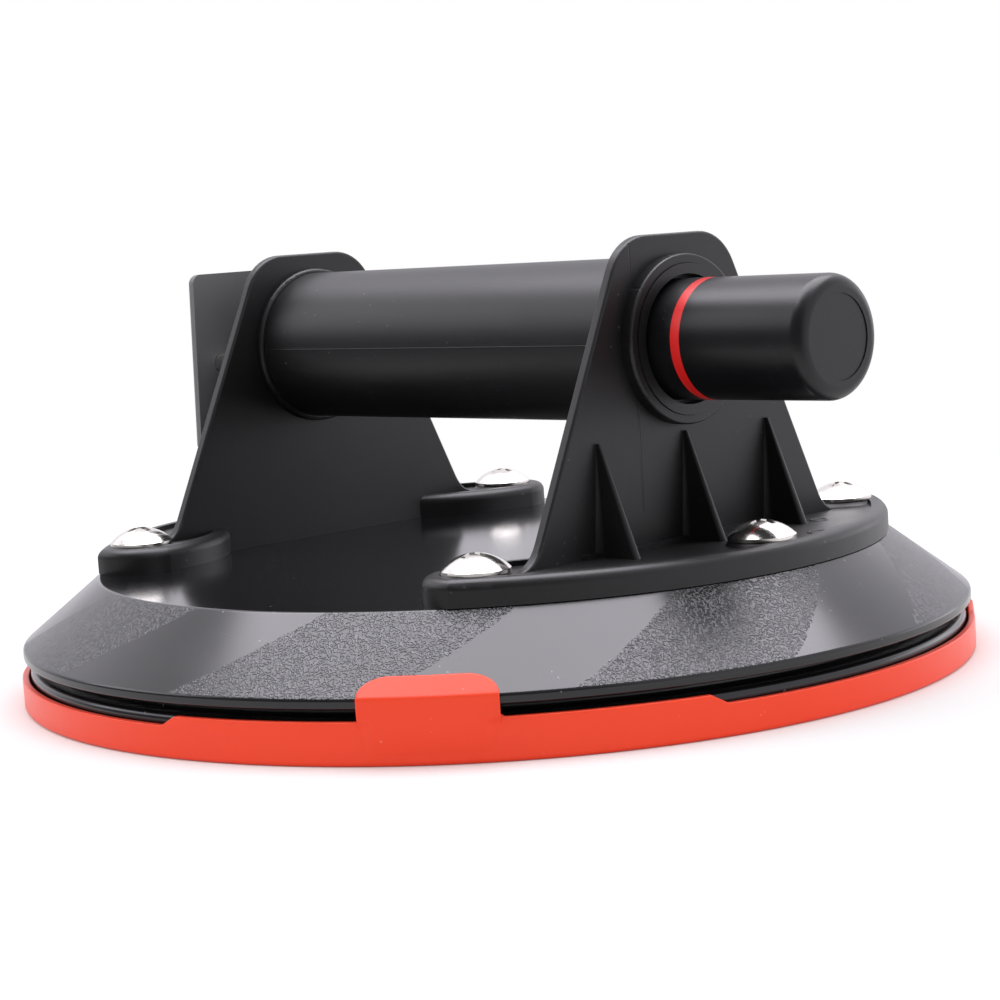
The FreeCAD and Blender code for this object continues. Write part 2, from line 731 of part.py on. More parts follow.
def make_nuts():
    nut = new_body("press_nut")
    hexagon = new_sketch(nut, "hexagon", "XY_Plane", BACKING_LOW)
    across = "nut_flats / sqrt(3)"
    outline(hexagon, [("%s * cos(%d)" % (across, turn), "%s * sin(%d)" % (across, turn))
                      for turn in range(0, 360, 60)])
    pad(nut, "hex", hexagon, "nut_height", backwards=True)
    shank = new_sketch(nut, "shank", "XY_Plane", BACKING_LOW)
    circles(shank, [("0", "0")], "nut_shank_radius")
    pad(nut, "collar", shank, "backing_thickness")
    thread = new_sketch(nut, "thread", "XY_Plane", "web_height")
    circles(thread, [("0", "0")], "screw_radius + running_gap")
    pocket(nut, "bore", thread, "backing_thickness + nut_height")
    return group("foot_nuts", nut, [(x, y, "0", "0") for x, y in screw_centres()])


# Air port: a flanged tube from under the backing plate up into the handle's foot, an O-ring
# round its top and a filter disc over its flange.
def make_port():
    low = "(%s - port_flange)" % BACKING_LOW
    tube = turned_on_pad("port_tube", [
        ("port_radius - port_wall", low),
        ("filter_radius", low),
        ("filter_radius", BACKING_LOW),
        ("port_radius", BACKING_LOW),
        ("port_radius", "plateau_height + ring_wire"),
        ("port_radius - port_wall", "plateau_height + ring_wire"),
    ])
    ring = doc.addObject("Part::Torus", "port_seal")
    bind(ring, "Radius1", "port_radius + ring_wire + running_gap")
    bind(ring, "Radius2", "ring_wire")
    bind(ring, "Placement.Base.z", "plateau_height + ring_wire")
    disc = cylinder("inlet_filter", "filter_radius", "filter_thickness", ("0", "0", low + " - filter_thickness"))
    for piece in (tube, ring, disc):
        bind(piece, "Placement.Base.x", "-(duct_place)")
    return [tube, ring, disc]


# Cover: a shallow tray whose wall stands higher on both sides of each hook, with a thick root
# under each hook.
def make_cover():
    inner = "(cover_radius - cover_wall)"
    tray = turned_on_pad("cover_tray", [
        ("0", "0"),
        ("cover_radius", "0"),
        ("cover_radius", "cover_low_wall"),
        (inner, "cover_low_wall"),
        (inner, "cover_floor"),
        ("0", "cover_floor"),
    ])
    rise = "(cover_high_wall - cover_low_wall)"
    lift = ("0", "0", "cover_low_wall")
    ring = combined("Cut", "wall_ring", cylinder("wall_outside", "cover_radius", rise, lift),
                    cylinder("wall_inside", inner, rise, lift))
    ramp = doc.addObject("Part::Wedge", "raised_ramp")
    half = "(cover_radius * sin(raised_angle / 2))"
    for prop, text in (("Xmin", "-%s - ramp_length" % half), ("Xmax", "%s + ramp_length" % half),
                       ("X2min", "-" + half), ("X2max", half), ("Ymin", "0"), ("Ymax", rise),
                       ("Zmin", "cover_radius / 2"), ("Zmax", "2 * cover_radius"),
                       ("Z2min", "cover_radius / 2"), ("Z2max", "2 * cover_radius")):
        bind(ramp, prop, text)
    ramp.Placement = FreeCAD.Placement(FreeCAD.Vector(0, 0, 0), FreeCAD.Rotation(FreeCAD.Vector(1, 1, 1), 120))
    turns = ["tab_first_angle + %d" % (360 // TAB_COUNT * count) for count in range(TAB_COUNT)]
    ramps = group("raised_ramps", ramp, [("0", "0", "cover_low_wall", turn) for turn in turns])
    raised = combined("Common", "raised_wall", ring, ramps)

    starts = ["%s - tab_angle / 2" % turn for turn in turns]
    slot = cylinder("hook_slot", "cover_radius + cover_wall", rise, angle="tab_angle")
    slots = group("hook_slots", slot, [("0", "0", "cover_low_wall", turn) for turn in starts])
    open_wall = combined("Cut", "open_wall", raised, slots)
    root = combined("Cut", "hook_root",
                    cylinder("root_outside", "pad_radius + part_gap + tab_thickness", "cover_low_wall",
                             angle="tab_angle"),
                    cylinder("root_inside", inner + " + cover_wall / 2", "cover_low_wall"))
    roots = group("hook_roots", root, [("0", "0", "0", turn) for turn in starts])
    cover = joined("protective_cover", [tray, open_wall, roots])
    cover.Label = "protective_cover"

    steep = "((plateau_height - rim_top_height) / (pad_radius - plateau_radius))"
    hook_low = "(rim_top_height + (pad_radius - tab_hook_radius) * %s + part_gap * 1.4)" % steep
    top = "(%s + tab_thickness * 1.2)" % hook_low
    face = "(pad_radius + part_gap)"
    tab = turned_on_pad("hook_tab", [
        (face, "cover_low_wall"),
        (face + " + tab_thickness", "cover_low_wall"),
        (face + " + tab_thickness", "rim_top_height"),
        ("tab_hook_radius", top),
        ("tab_hook_radius", hook_low),
        (face, "rim_top_height + part_gap"),
    ], angle="tab_angle")
    corner = new_sketch(tab, "corners", "YZ_Plane", "tab_hook_radius - 2 * tab_thickness")
    for side in ("", "-"):
        edge = "%s(tab_hook_radius * sin(tab_angle / 2)" % side
        outline(corner, [
            (edge + " - tab_corner)", top),
            (edge + ")", top + " - tab_corner"),
            (edge + " + tab_corner)", top + " - tab_corner"),
            (edge + " + tab_corner)", top + " + tab_corner"),
            (edge + " - tab_corner)", top + " + tab_corner"),
        ], {0: ("tab_corner", 1 if side else -1)})
    pocket(tab, "corner", corner, "hook_reach + 6 * tab_thickness", backwards=True)
    tabs = group("cover_tabs", tab, [("0", "0", "0", turn) for turn in turns])
    return [cover, tabs]


def make_pump():
    bush_right = "(bracket_outer + bush_boss_length + bush_proud)"
    barrel = turned_on_pump("pump_barrel", [
        ("-(barrel_left)", BARREL_BORE),
        ("bush_left - seat_gap", BARREL_BORE),
        ("bush_left - seat_gap", "barrel_radius"),
        ("-(barrel_left)", "barrel_radius"),
    ])
    sliding = "(plunger_radius + running_gap)"
    bush = turned_on_pump("guide_bush", [
        ("bush_left", sliding),
        ("wiper_left", sliding),
        ("wiper_left", "wiper_radius"),
        ("wiper_left + wiper_length", "wiper_radius"),
        ("wiper_left + wiper_length", sliding),
        (bush_right + " - bush_mouth_depth", sliding),
        (bush_right + " - bush_mouth_depth", "bush_mouth_radius"),
        (bush_right, "bush_mouth_radius"),
        (bush_right, "bush_flange_radius"),
        (bush_right + " - bush_flange_length", "bush_flange_radius"),
        (bush_right + " - bush_flange_length", "barrel_radius"),
        ("bush_left", "barrel_radius"),
    ])
    wiper = turned_on_pump("wiper_seal", [
        ("wiper_left + running_gap", sliding),
        ("wiper_left + wiper_length - running_gap", sliding),
        ("wiper_left + wiper_length - running_gap", "wiper_radius - running_gap"),
        ("wiper_left + running_gap", "wiper_radius - running_gap"),
    ])
    inner = "(plunger_radius - plunger_wall)"
    hollow_end = "(plunger_end - plunger_end_wall)"
    dimple = "(plunger_end - plunger_dimple_depth)"
    band_floor = "(plunger_radius - band_depth)"
    tube = turned_on_pump("plunger_tube", [
        (PISTON_RIGHT, inner),
        (hollow_end, inner),
        (hollow_end, "0"),
        (dimple, "0"),
        (dimple, "plunger_dimple_radius"),
        ("plunger_end", "plunger_dimple_radius"),
        ("plunger_end", "plunger_radius"),
        ("band_place + band_width", "plunger_radius"),
        ("band_place + band_width", band_floor),
        ("band_place", band_floor),
        ("band_place", "plunger_radius"),
        (PISTON_RIGHT, "plunger_radius"),
    ])
    end = number("plunger_end")
    rim = number("plunger_radius")
    round_edges(tube, "end", tube.Tip, "plunger_round", lambda edge: turned_ring(edge, end, rim))
    band = turned_on_pump("plunger_red_band", [
        ("band_place", band_floor + " + running_gap"),
        ("band_place + band_width", band_floor + " + running_gap"),
        ("band_place + band_width", "plunger_radius"),
        ("band_place", "plunger_radius"),
    ])
    groove_left = "(%s + seal_offset)" % PISTON_LEFT
    groove_right = "(%s + seal_length)" % groove_left
    groove = "(%s - seal_depth)" % BARREL_BORE
    land = "(%s - 3 * running_gap)" % BARREL_BORE
    neck = "(%s - running_gap)" % inner
    piston = turned_on_pump("piston_head", [
        (PISTON_LEFT, "0"),
        (PISTON_RIGHT + " + piston_neck_length", "0"),
        (PISTON_RIGHT + " + piston_neck_length", neck),
        (PISTON_RIGHT, neck),
        (PISTON_RIGHT, land),
        (groove_right, land),
        (groove_right, groove),
        (groove_left, groove),
        (groove_left, land),
        (PISTON_LEFT, land),
    ])
    seal = turned_on_pump("piston_seal", [
        (groove_left + " + running_gap", groove + " + running_gap"),
        (groove_right + " - running_gap", groove + " + running_gap"),
        (groove_right + " - running_gap", BARREL_BORE + " - running_gap / 2"),
        (groove_left + " + running_gap", BARREL_BORE + " - running_gap / 2"),
    ])
    return [barrel, bush, wiper, tube, band, piston, seal]


# A coil spring on the pump's axis between two places along X. The wire is six-sided and its
# path goes round in short straight runs, which keeps this hidden piece light.
def coil_spring(label, left, right, radius, wire, turns):
    length = "(%s - (%s) - 2 * %s)" % (right, left, wire)
    runs = round(number(turns) * RUNS_PER_TURN)
    points = []
    for count in range(runs + 1):
        turn = 2 * math.pi * count / RUNS_PER_TURN
        points.append(FreeCAD.Vector(number(radius) * math.cos(turn), number(radius) * math.sin(turn),
                                     number(length) * count / runs))
    path = doc.addObject("Part::Feature", label + "_path")
    path.Shape = Part.makePolygon(points)
    section = doc.addObject("Part::RegularPolygon", label + "_section")
    section.Polygon = 6
    bind(section, "Circumradius", wire)
    section.Placement.Rotation = FreeCAD.Rotation(AXIS_X, 90)
    bind(section, "Placement.Base.x", radius)
    spring = doc.addObject("Part::Sweep", label)
    spring.Label = label
    spring.Sections = [section]
    spring.Spine = (path, ["Edge%d" % (place + 1) for place in range(runs)])
    spring.Solid = True
    spring.Frenet = False
    spring.Transition = "Right corner"
    spring.Placement = FreeCAD.Placement(FreeCAD.Vector(0, 0, 0), FreeCAD.Rotation(AXIS_Y, 90))
    bind(spring, "Placement.Base.x", "%s + %s" % (left, wire))
    bind(spring, "Placement.Base.z", "axis_height")
    return spring


def ring_of(count, circle):
    return [("%s * cos(%d)" % (circle, turn), "%s * sin(%d)" % (circle, turn))
            for turn in range(0, 360, 360 // count)]


# Valves at the pump's closed end: the plate with its umbrella check valve, and the release
# valve that lets air back in through the plug when the stem is pushed.
def make_valves():
    plate_left = "-(%s)" % VALVE_PLATE_LEFT
    plate_right = "-(barrel_left + seat_gap)"
    plate = turned_on_pump("valve_plate", [
        (plate_left, "check_stem_radius + running_gap"),
        (plate_right, "check_stem_radius + running_gap"),
        (plate_right, "barrel_radius"),
        (plate_left, "barrel_radius"),
    ])
    holes = new_sketch(plate, "air_holes", "YZ_Plane", plate_right)
    circles(holes, ring_of(6, "check_hole_circle"), "check_hole_radius")
    pocket(plate, "holes", holes, "valve_plate_thickness")

    barb = "(%s - part_gap)" % plate_left
    umbrella = turned_on_pump("check_valve", [
        (barb + " - check_cap_thickness", "0"),
        (plate_right + " + check_cap_thickness", "0"),
        (plate_right + " + check_cap_thickness", "check_stem_radius * 2"),
        (plate_right + " + check_cap_thickness / 2", "check_cap_radius"),
        (plate_right, "check_cap_radius"),
        (plate_right, "check_stem_radius"),
        (barb, "check_stem_radius"),
        (barb, "check_stem_radius * 1.4"),
        (barb + " - check_cap_thickness", "check_stem_radius"),
    ])

    plug_right = "-(%s)" % PLUG_RIGHT
    plug = turned_on_pump("valve_plug", [
        ("-(valve_boss_end)", "stem_radius + running_gap"),
        (plug_right, "stem_radius + running_gap"),
        (plug_right, "valve_bore - running_gap"),
        ("-(valve_boss_end)", "valve_bore - running_gap"),
    ])
    vents = new_sketch(plug, "vents", "YZ_Plane", plug_right)
    circles(vents, ring_of(4, "vent_circle"), "vent_radius")
    pocket(plug, "holes", vents, "plug_length")

    seat = "(%s + running_gap)" % plug_right
    head_left = "(%s + stem_seal_length)" % seat
    head_right = "(%s + stem_head_length)" % head_left
    washer = turned_on_pump("stem_seal", [
        (seat, "stem_radius + running_gap"),
        (head_left, "stem_radius + running_gap"),
        (head_left, "stem_seal_radius"),
        (seat, "stem_seal_radius"),
    ])
    stem = turned_on_pump("valve_stem", [
        ("-(plate_place + plate_thickness / 2)", "0"),
        (head_right, "0"),
        (head_right, "stem_head_radius"),
        (head_left, "stem_head_radius"),
        (head_left, "stem_radius"),
        ("-(plate_place + plate_thickness / 2)", "stem_radius"),
    ])
    pump_spring = coil_spring("pump_spring", plate_right, PISTON_LEFT, "spring_radius", "spring_wire", "spring_turns")
    return_spring = coil_spring("return_spring", head_right, plate_left, "return_spring_radius",
                                "return_spring_wire", "return_spring_turns")
    return [plate, umbrella, plug, washer, stem, pump_spring, return_spring]


# Release plate: stands across the -X end and runs on two steel pins.
def make_release():
    body = new_body("release_plate")
    face = new_sketch(body, "outline", "YZ_Plane", "-(plate_place)")
    outline(face, [
        ("-(plate_low_half)", "plate_low_height"),
        ("plate_low_half", "plate_low_height"),
        ("plate_top_half", "plate_top_height"),
        ("-(plate_top_half)", "plate_top_height"),
    ])
    slab = pad(body, "slab", face, "plate_thickness", backwards=True)
    corners = round_edges(body, "corners", slab, "plate_corner", lambda edge: along(edge, AXIS_X))
    pins = [("pin_spacing", "pin_height"), ("-(pin_spacing)", "pin_height")]
    sockets = new_sketch(body, "sockets", "YZ_Plane", "-(plate_place)")
    circles(sockets, pins, "pin_radius + running_gap")
    circles(sockets, [("0", "axis_height")], "stem_radius + running_gap")
    holed = pocket(body, "holes", sockets, "plate_thickness / 2")
    back = number("-(plate_place + plate_thickness)")
    round_edges(body, "back_edge", holed, "plate_edge",
                lambda edge: max(abs(point.X - back) for point in edge.Vertexes) < 1e-4)

    pin = doc.addObject("Part::Cylinder", "guide_pin")
    bind(pin, "Radius", "pin_radius")
    bind(pin, "Height", "plate_place + plate_thickness / 2 - bracket_outer - pin_boss_length + release_travel")
    pin.Placement = FreeCAD.Placement(FreeCAD.Vector(0, 0, 0), FreeCAD.Rotation(AXIS_Y, 90))
    pins_x = "-(plate_place + plate_thickness / 2)"
    pair = group("guide_pins", pin, [(pins_x, "pin_spacing", "pin_height", "0"),
                                     (pins_x, "-(pin_spacing)", "pin_height", "0")])
    return [body, pair]


# True for a circle about the pad's axis with this (radius, height).
def ring_at(edge, place):
    if not isinstance(edge.Curve, Part.Circle):
        return False
    middle = edge.Curve.Center
    level = math.hypot(middle.x, middle.y) < 1e-4 and abs(middle.z - place[1]) < 1e-4
    return level and abs(edge.Curve.Radius - place[0]) < 1e-4


# True for a circle about the pump's axis at this place along X with this radius.
def turned_ring(edge, place, radius):
    if not isinstance(edge.Curve, Part.Circle):
        return False
    return abs(edge.Curve.Center.x - place) < 1e-4 and abs(edge.Curve.Radius - radius) < 1e-4


pieces = [make_handle(), make_pad(), make_backing(), make_screws(), make_nuts()]
pieces += make_port()
pieces += make_cover()
pieces += make_pump()
pieces += make_valves()
pieces += make_release()
doc.recompute()

for thing in doc.Objects:
    if "Invalid" in thing.State or "Error" in thing.State:
        raise RuntimeError("%s is in a bad state: %s" % (thing.Label, thing.State))

os.makedirs("parts", exist_ok=True)
for piece in pieces:
    if piece.Shape.isNull() or not piece.Shape.isValid():
        raise RuntimeError(piece.Label + " has no valid shape")
    piece.Shape.exportStep("parts/%s.step" % piece.Label)
    box = piece.Shape.BoundBox
    print("%-18s %d solid  x %.1f..%.1f  y %.1f..%.1f  z %.1f..%.1f" % (
        piece.Label, len(piece.Shape.Solids), box.XMin, box.XMax, box.YMin, box.YMax, box.ZMin, box.ZMax))
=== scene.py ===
import json
import math
import bpy
import numpy as np
from mathutils import Matrix, Vector


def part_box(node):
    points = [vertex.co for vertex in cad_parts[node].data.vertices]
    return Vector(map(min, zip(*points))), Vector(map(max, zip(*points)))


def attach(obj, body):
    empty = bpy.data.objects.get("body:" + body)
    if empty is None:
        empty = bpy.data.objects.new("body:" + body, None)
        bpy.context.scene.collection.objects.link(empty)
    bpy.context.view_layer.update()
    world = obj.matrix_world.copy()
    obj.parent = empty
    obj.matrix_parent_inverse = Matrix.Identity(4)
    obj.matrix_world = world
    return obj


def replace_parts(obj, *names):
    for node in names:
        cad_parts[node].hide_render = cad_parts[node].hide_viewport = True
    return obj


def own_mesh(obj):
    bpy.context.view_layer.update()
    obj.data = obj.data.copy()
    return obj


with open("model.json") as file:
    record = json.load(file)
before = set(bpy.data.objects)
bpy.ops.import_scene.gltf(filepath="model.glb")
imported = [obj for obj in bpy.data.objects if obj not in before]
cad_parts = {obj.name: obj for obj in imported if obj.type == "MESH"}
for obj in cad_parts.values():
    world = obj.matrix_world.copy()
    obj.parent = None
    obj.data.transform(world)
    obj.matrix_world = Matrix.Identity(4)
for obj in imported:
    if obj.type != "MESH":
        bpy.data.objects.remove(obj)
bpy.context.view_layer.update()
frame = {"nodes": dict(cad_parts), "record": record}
nodes = frame["nodes"]
scene = bpy.context.scene
scene.view_settings.view_transform = "Standard"
print("frame loaded:", len(nodes), "nodes")

mm = 0.001
tiny = 1e-12

# camera, as fitted to the photograph's 1000 x 1000 frame
cameraSet = {
    "azimuth": 46.14,
    "elevation": 6.51,
    "roll": -3.71,
    "distance": 0.52304,
    "focalPixels": 2410.24,
    "frameSize": 1000,
    "sensor": 36.0,
    "clipStart": 0.01,
    "target": (1.37 * mm, 1.79 * mm, 34.91 * mm),
}


# back points from the target to the camera; right and up are then rolled about it
def placeCamera(setup):
    turn, lift, roll = (math.radians(setup[key]) for key in ("azimuth", "elevation", "roll"))
    back = Vector((math.sin(turn) * math.cos(lift), -math.cos(turn) * math.cos(lift), math.sin(lift)))
    right = Vector((math.cos(turn), math.sin(turn), 0.0))
    up = back.cross(right)
    rolledRight = math.cos(roll) * right + math.sin(roll) * up
    rolledUp = math.cos(roll) * up - math.sin(roll) * right
    data = bpy.data.cameras.new("photoCamera")
    data.sensor_width = setup["sensor"]
    data.sensor_fit = "HORIZONTAL"
    data.lens = setup["focalPixels"] / setup["frameSize"] * setup["sensor"]
    data.clip_start = setup["clipStart"]
    camera = bpy.data.objects.new("photoCamera", data)
    scene.collection.objects.link(camera)
    place = Vector(setup["target"]) + back * setup["distance"]
    turned = Matrix((rolledRight, rolledUp, back)).transposed().to_4x4()
    camera.matrix_world = Matrix.Translation(place) @ turned
    scene.camera = camera


placeCamera(cameraSet)
print("camera placed")


# node tools: a value that is a socket is linked, anything else is set on the input
def feed(tree, node, inputs):
    for key, value in inputs.items():
        if isinstance(value, bpy.types.NodeSocket):
            tree.links.new(value, node.inputs[key])
        else:
            node.inputs[key].default_value = value
    return node


def addNode(tree, kind, inputs=None, **settings):
    node = tree.nodes.new(kind)
    for key, value in settings.items():
        setattr(node, key, value)
    return feed(tree, node, inputs or {})


def calc(tree, operation, *values):
    return addNode(tree, "ShaderNodeMath", dict(enumerate(values)), operation=operation).outputs[0]


def noiseOf(tree, vector, scale, **inputs):
    return addNode(tree, "ShaderNodeTexNoise", {"Vector": vector, "Scale": scale, **inputs}).outputs["Fac"]


def splitXyz(tree, vector):
    return addNode(tree, "ShaderNodeSeparateXYZ", {0: vector}).outputs


# smooth step of a value from low (0) to high (1)
def stepUp(tree, value, low, high):
    node = addNode(tree, "ShaderNodeMapRange", {"Value": value, "From Min": low, "From Max": high},
                   interpolation_type="SMOOTHSTEP")
    return node.outputs["Result"]


# 1 where the value is within the half width of the middle, falling to 0 over the soft edge
def bandAt(tree, value, middle, half, soft):
    away = calc(tree, "ABSOLUTE", calc(tree, "SUBTRACT", value, middle))
    return stepUp(tree, away, half + soft, half)


# sockets 0, 6 and 7 are the amount and the two colours
def blendColour(tree, amount, first, second):
    return addNode(tree, "ShaderNodeMix", {0: amount, 6: first, 7: second}, data_type="RGBA").outputs[2]


def bumpFrom(tree, height, distance, strength, under=None):
    inputs = {"Height": height, "Distance": distance, "Strength": strength}
    if under is not None:
        inputs["Normal"] = under
    return addNode(tree, "ShaderNodeBump", inputs).outputs["Normal"]


def newGroup(name, numbers, outputs):
    group = bpy.data.node_groups.new(name, "ShaderNodeTree")
    group.interface.new_socket("Vector", in_out="INPUT", socket_type="NodeSocketVector")
    for label, start in numbers.items():
        socket = group.interface.new_socket(label, in_out="INPUT", socket_type="NodeSocketFloat")
        socket.default_value = start
    for label in outputs:
        group.interface.new_socket(label, in_out="OUTPUT", socket_type="NodeSocketFloat")
    return group, group.nodes.new("NodeGroupInput").outputs, group.nodes.new("NodeGroupOutput")


def useGroup(tree, group, inputs):
    return addNode(tree, "ShaderNodeGroup", inputs, node_tree=group).outputs


def newMaterial(name):
    material = bpy.data.materials.new(name)
    material.use_nodes = True
    tree = material.node_tree
    tree.nodes.clear()
    shader = addNode(tree, "ShaderNodeBsdfPrincipled")
    addNode(tree, "ShaderNodeOutputMaterial", {"Surface": shader.outputs["BSDF"]})
    coords = addNode(tree, "ShaderNodeTexCoord").outputs["Object"]
    return material, tree, shader, coords


def colour(red, green, blue):
    return (red, green, blue, 1.0)


# handling marks: hairline scuffs along X and sparse dust specks; each pair says where an effect is 0 and
# where it is 1
handlingSet = {
    "stretch": (70, 1500, 1500),    # waves of the hairlines' noise to a metre
    "hairline": (0.64, 0.76),
    "patchScale": 45.0,
    "scuffPatch": (0.42, 0.68),
    "speckScale": 520.0,
    "speckDraw": (0.80, 0.84),      # only cells that draw more than this hold a speck
    "speckSize": (0.16, 0.08),
    "speckPatch": (0.40, 0.62),
}


def makeHandlingGroup():
    s = handlingSet
    group, entry, leave = newGroup("handlingMarks", {"Dust": 0.5}, ["Scuff", "Dust"])
    vector = entry["Vector"]
    drawn = addNode(group, "ShaderNodeVectorMath", {0: vector, 1: s["stretch"]}, operation="MULTIPLY")
    streak = noiseOf(group, drawn.outputs[0], 1.0, Detail=2.0)
    patch = noiseOf(group, vector, s["patchScale"])
    scuff = calc(group, "MULTIPLY", stepUp(group, streak, *s["hairline"]),
                 stepUp(group, patch, *s["scuffPatch"]))
    cells = addNode(group, "ShaderNodeTexVoronoi", {"Vector": vector, "Scale": s["speckScale"]}).outputs
    draw = addNode(group, "ShaderNodeSeparateColor", {0: cells["Color"]}).outputs[0]
    speck = calc(group, "MULTIPLY", stepUp(group, cells["Distance"], *s["speckSize"]),
                 stepUp(group, draw, *s["speckDraw"]))
    speck = calc(group, "MULTIPLY", speck, stepUp(group, patch, *s["speckPatch"]))
    feed(group, leave, {"Scuff": scuff, "Dust": calc(group, "MULTIPLY", speck, entry["Dust"])})
    return group


# grain of the skirt: eight pairs of grained and smooth fields, their borders slanting from rim to plateau
fieldSet = {
    "pairs": 8,
    "firstBorder": -81.0,    # degrees, at the rim
    "grainedShare": 24.5 / 45.0,
    "slant": 15.0,           # degrees from rim to plateau
    "rim": 101.0 * mm,
    "plateau": 85.2 * mm,
    "softness": 0.012,
    "wobble": 0.022,         # of the borders
    "wobbleScale": 700.0,
    "wholeTurns": 100.0,     # added so that the phase is never below 0
    "coneInside": (84.9 * mm, 85.3 * mm),
    "coneOutside": (101.5 * mm, 101.1 * mm),
    "coneFoot": (11.9 * mm, 12.3 * mm),
}


# phase = fraction of (angle - slant * share of the way in from the rim - first border) / pitch; grained while
# the phase is below its share, on the cone only
def makeFieldGroup():
    s = fieldSet
    group, entry, leave = newGroup("skirtFields", {}, ["Grained"])
    across, along, height = splitXyz(group, entry["Vector"])
    radius = calc(group, "SQRT", calc(group, "ADD", calc(group, "MULTIPLY", across, across),
                                      calc(group, "MULTIPLY", along, along)))
    inward = calc(group, "DIVIDE", calc(group, "SUBTRACT", s["rim"], radius), s["rim"] - s["plateau"])
    slanted = calc(group, "MULTIPLY", inward, math.radians(s["slant"]))
    noise = calc(group, "SUBTRACT", noiseOf(group, entry["Vector"], s["wobbleScale"], Detail=2.0), 0.5)
    shifted = calc(group, "SUBTRACT", calc(group, "ARCTAN2", along, across), slanted)
    shifted = calc(group, "SUBTRACT", shifted, math.radians(s["firstBorder"]))
    shifted = calc(group, "ADD", shifted, calc(group, "MULTIPLY", noise, s["wobble"]))
    turns = calc(group, "DIVIDE", shifted, 2 * math.pi / s["pairs"])
    phase = calc(group, "FRACT", calc(group, "ADD", turns, s["wholeTurns"]))
    share, soft = s["grainedShare"], s["softness"]
    grained = calc(group, "MULTIPLY", stepUp(group, phase, 0.0, soft),
                   stepUp(group, phase, share + soft, share))
    for value, ends in ((radius, "coneInside"), (radius, "coneOutside"), (height, "coneFoot")):
        grained = calc(group, "MULTIPLY", grained, stepUp(group, value, *s[ends]))
    feed(group, leave, {"Grained": grained})
    return group


# leather grain: short worms where a noise passes through its middle value, 1 on their backs, 0 between them
grainSet = {
    "worms": 1250.0,
    "halfWidth": 0.11,
    "detail": 1.0,
    "roughness": 0.4,
}


def makeGrainGroup():
    s = grainSet
    group, entry, leave = newGroup("leatherGrain", {"Worms": s["worms"]}, ["Height"])
    noise = noiseOf(group, entry["Vector"], entry["Worms"], Detail=s["detail"], Roughness=s["roughness"])
    away = calc(group, "ABSOLUTE", calc(group, "SUBTRACT", noise, 0.5))
    feed(group, leave, {"Height": stepUp(group, away, s["halfWidth"], 0.0)})
    return group


# moulded skin: soft mottle 0 to 1, a fine spark-eroded texture and a slow waviness of the wall
mouldSet = {
    "mottleScale": 60.0,
    "mottleDetail": 4.0,
    "fine": 2600.0,
    "fineDetail": 2.0,
    "waveScale": 24.0,
}


def makeMouldGroup():
    s = mouldSet
    group, entry, leave = newGroup("mouldedSkin", {"Fine": s["fine"]}, ["Mottle", "Texture", "Wave"])
    vector = entry["Vector"]
    feed(group, leave, {"Mottle": noiseOf(group, vector, s["mottleScale"], Detail=s["mottleDetail"]),
                        "Texture": noiseOf(group, vector, entry["Fine"], Detail=s["fineDetail"]),
                        "Wave": noiseOf(group, vector, s["waveScale"])})
    return group


handlingMarks = makeHandlingGroup()
skirtFields = makeFieldGroup()
leatherGrain = makeGrainGroup()
mouldedSkin = makeMouldGroup()

# what the black and grey plastics share; depths in metres
plasticSet = {
    "scuffColour": (0.05, 0.05, 0.052),
    "scuffAmount": 0.25,
    "scuffRoughness": 0.12,
    "waveDepth": 0.0008,
    "waveStrength": 0.10,
    "fineDepth": 0.00005,
    "fineStrength": 0.35,
}

# black plastic of the handle, with a mould-insert line down the outer face of the right bracket
handleLook = {
    "dark": (0.0030, 0.0030, 0.0034),
    "light": (0.0060, 0.0060, 0.0066),
    "dust": (0.16, 0.16, 0.16),
    "dustAmount": 0.4,
    "roughness": (0.36, 0.48),
    "specular": 0.45,
    "insert": {
        "line": (-13.0 * mm, 0.12 * mm, 0.10 * mm),    # place along Y, half width, soft edge
        "face": (57.1 * mm, 57.25 * mm),
        "above": (36.0 * mm, 37.0 * mm),
        "depth": 0.0002,
        "strength": 0.7,
    },
}

# black acetal of the bush and the hidden pump pieces
bushLook = {
    "dark": (0.0030, 0.0030, 0.0034),
    "light": (0.0060, 0.0060, 0.0066),
    "dust": (0.12, 0.12, 0.12),
    "dustAmount": 0.2,
    "roughness": (0.34, 0.44),
    "specular": 0.45,
}

# black satin of the plunger
plungerLook = {
    "dark": (0.0028, 0.0028, 0.0034),
    "light": (0.0050, 0.0050, 0.0060),
    "dust": (0.2, 0.2, 0.2),
    "dustAmount": 0.15,
    "roughness": (0.31, 0.37),
    "specular": 0.37,
}

# grey of the release plate, lightened past its own dark grey: partly its own colour, partly painted light
# that brightens its face, which the lamps hardly reach
plateLookWithPaintedLight = {
    "dark": (0.125, 0.125, 0.131),
    "light": (0.150, 0.150, 0.157),
    "dust": (0.2, 0.2, 0.2),
    "dustAmount": 0.2,
    "roughness": (0.40, 0.50),
    "specular": 0.5,
}


# a fine groove on the face, above the foot
def addInsertLine(tree, coords, insert, under):
    out, along, height = splitXyz(tree, coords)
    line = bandAt(tree, along, *insert["line"])
    line = calc(tree, "MULTIPLY", line, stepUp(tree, out, *insert["face"]))
    line = calc(tree, "MULTIPLY", line, stepUp(tree, height, *insert["above"]))
    return bumpFrom(tree, calc(tree, "SUBTRACT", 1.0, line), insert["depth"], insert["strength"], under)


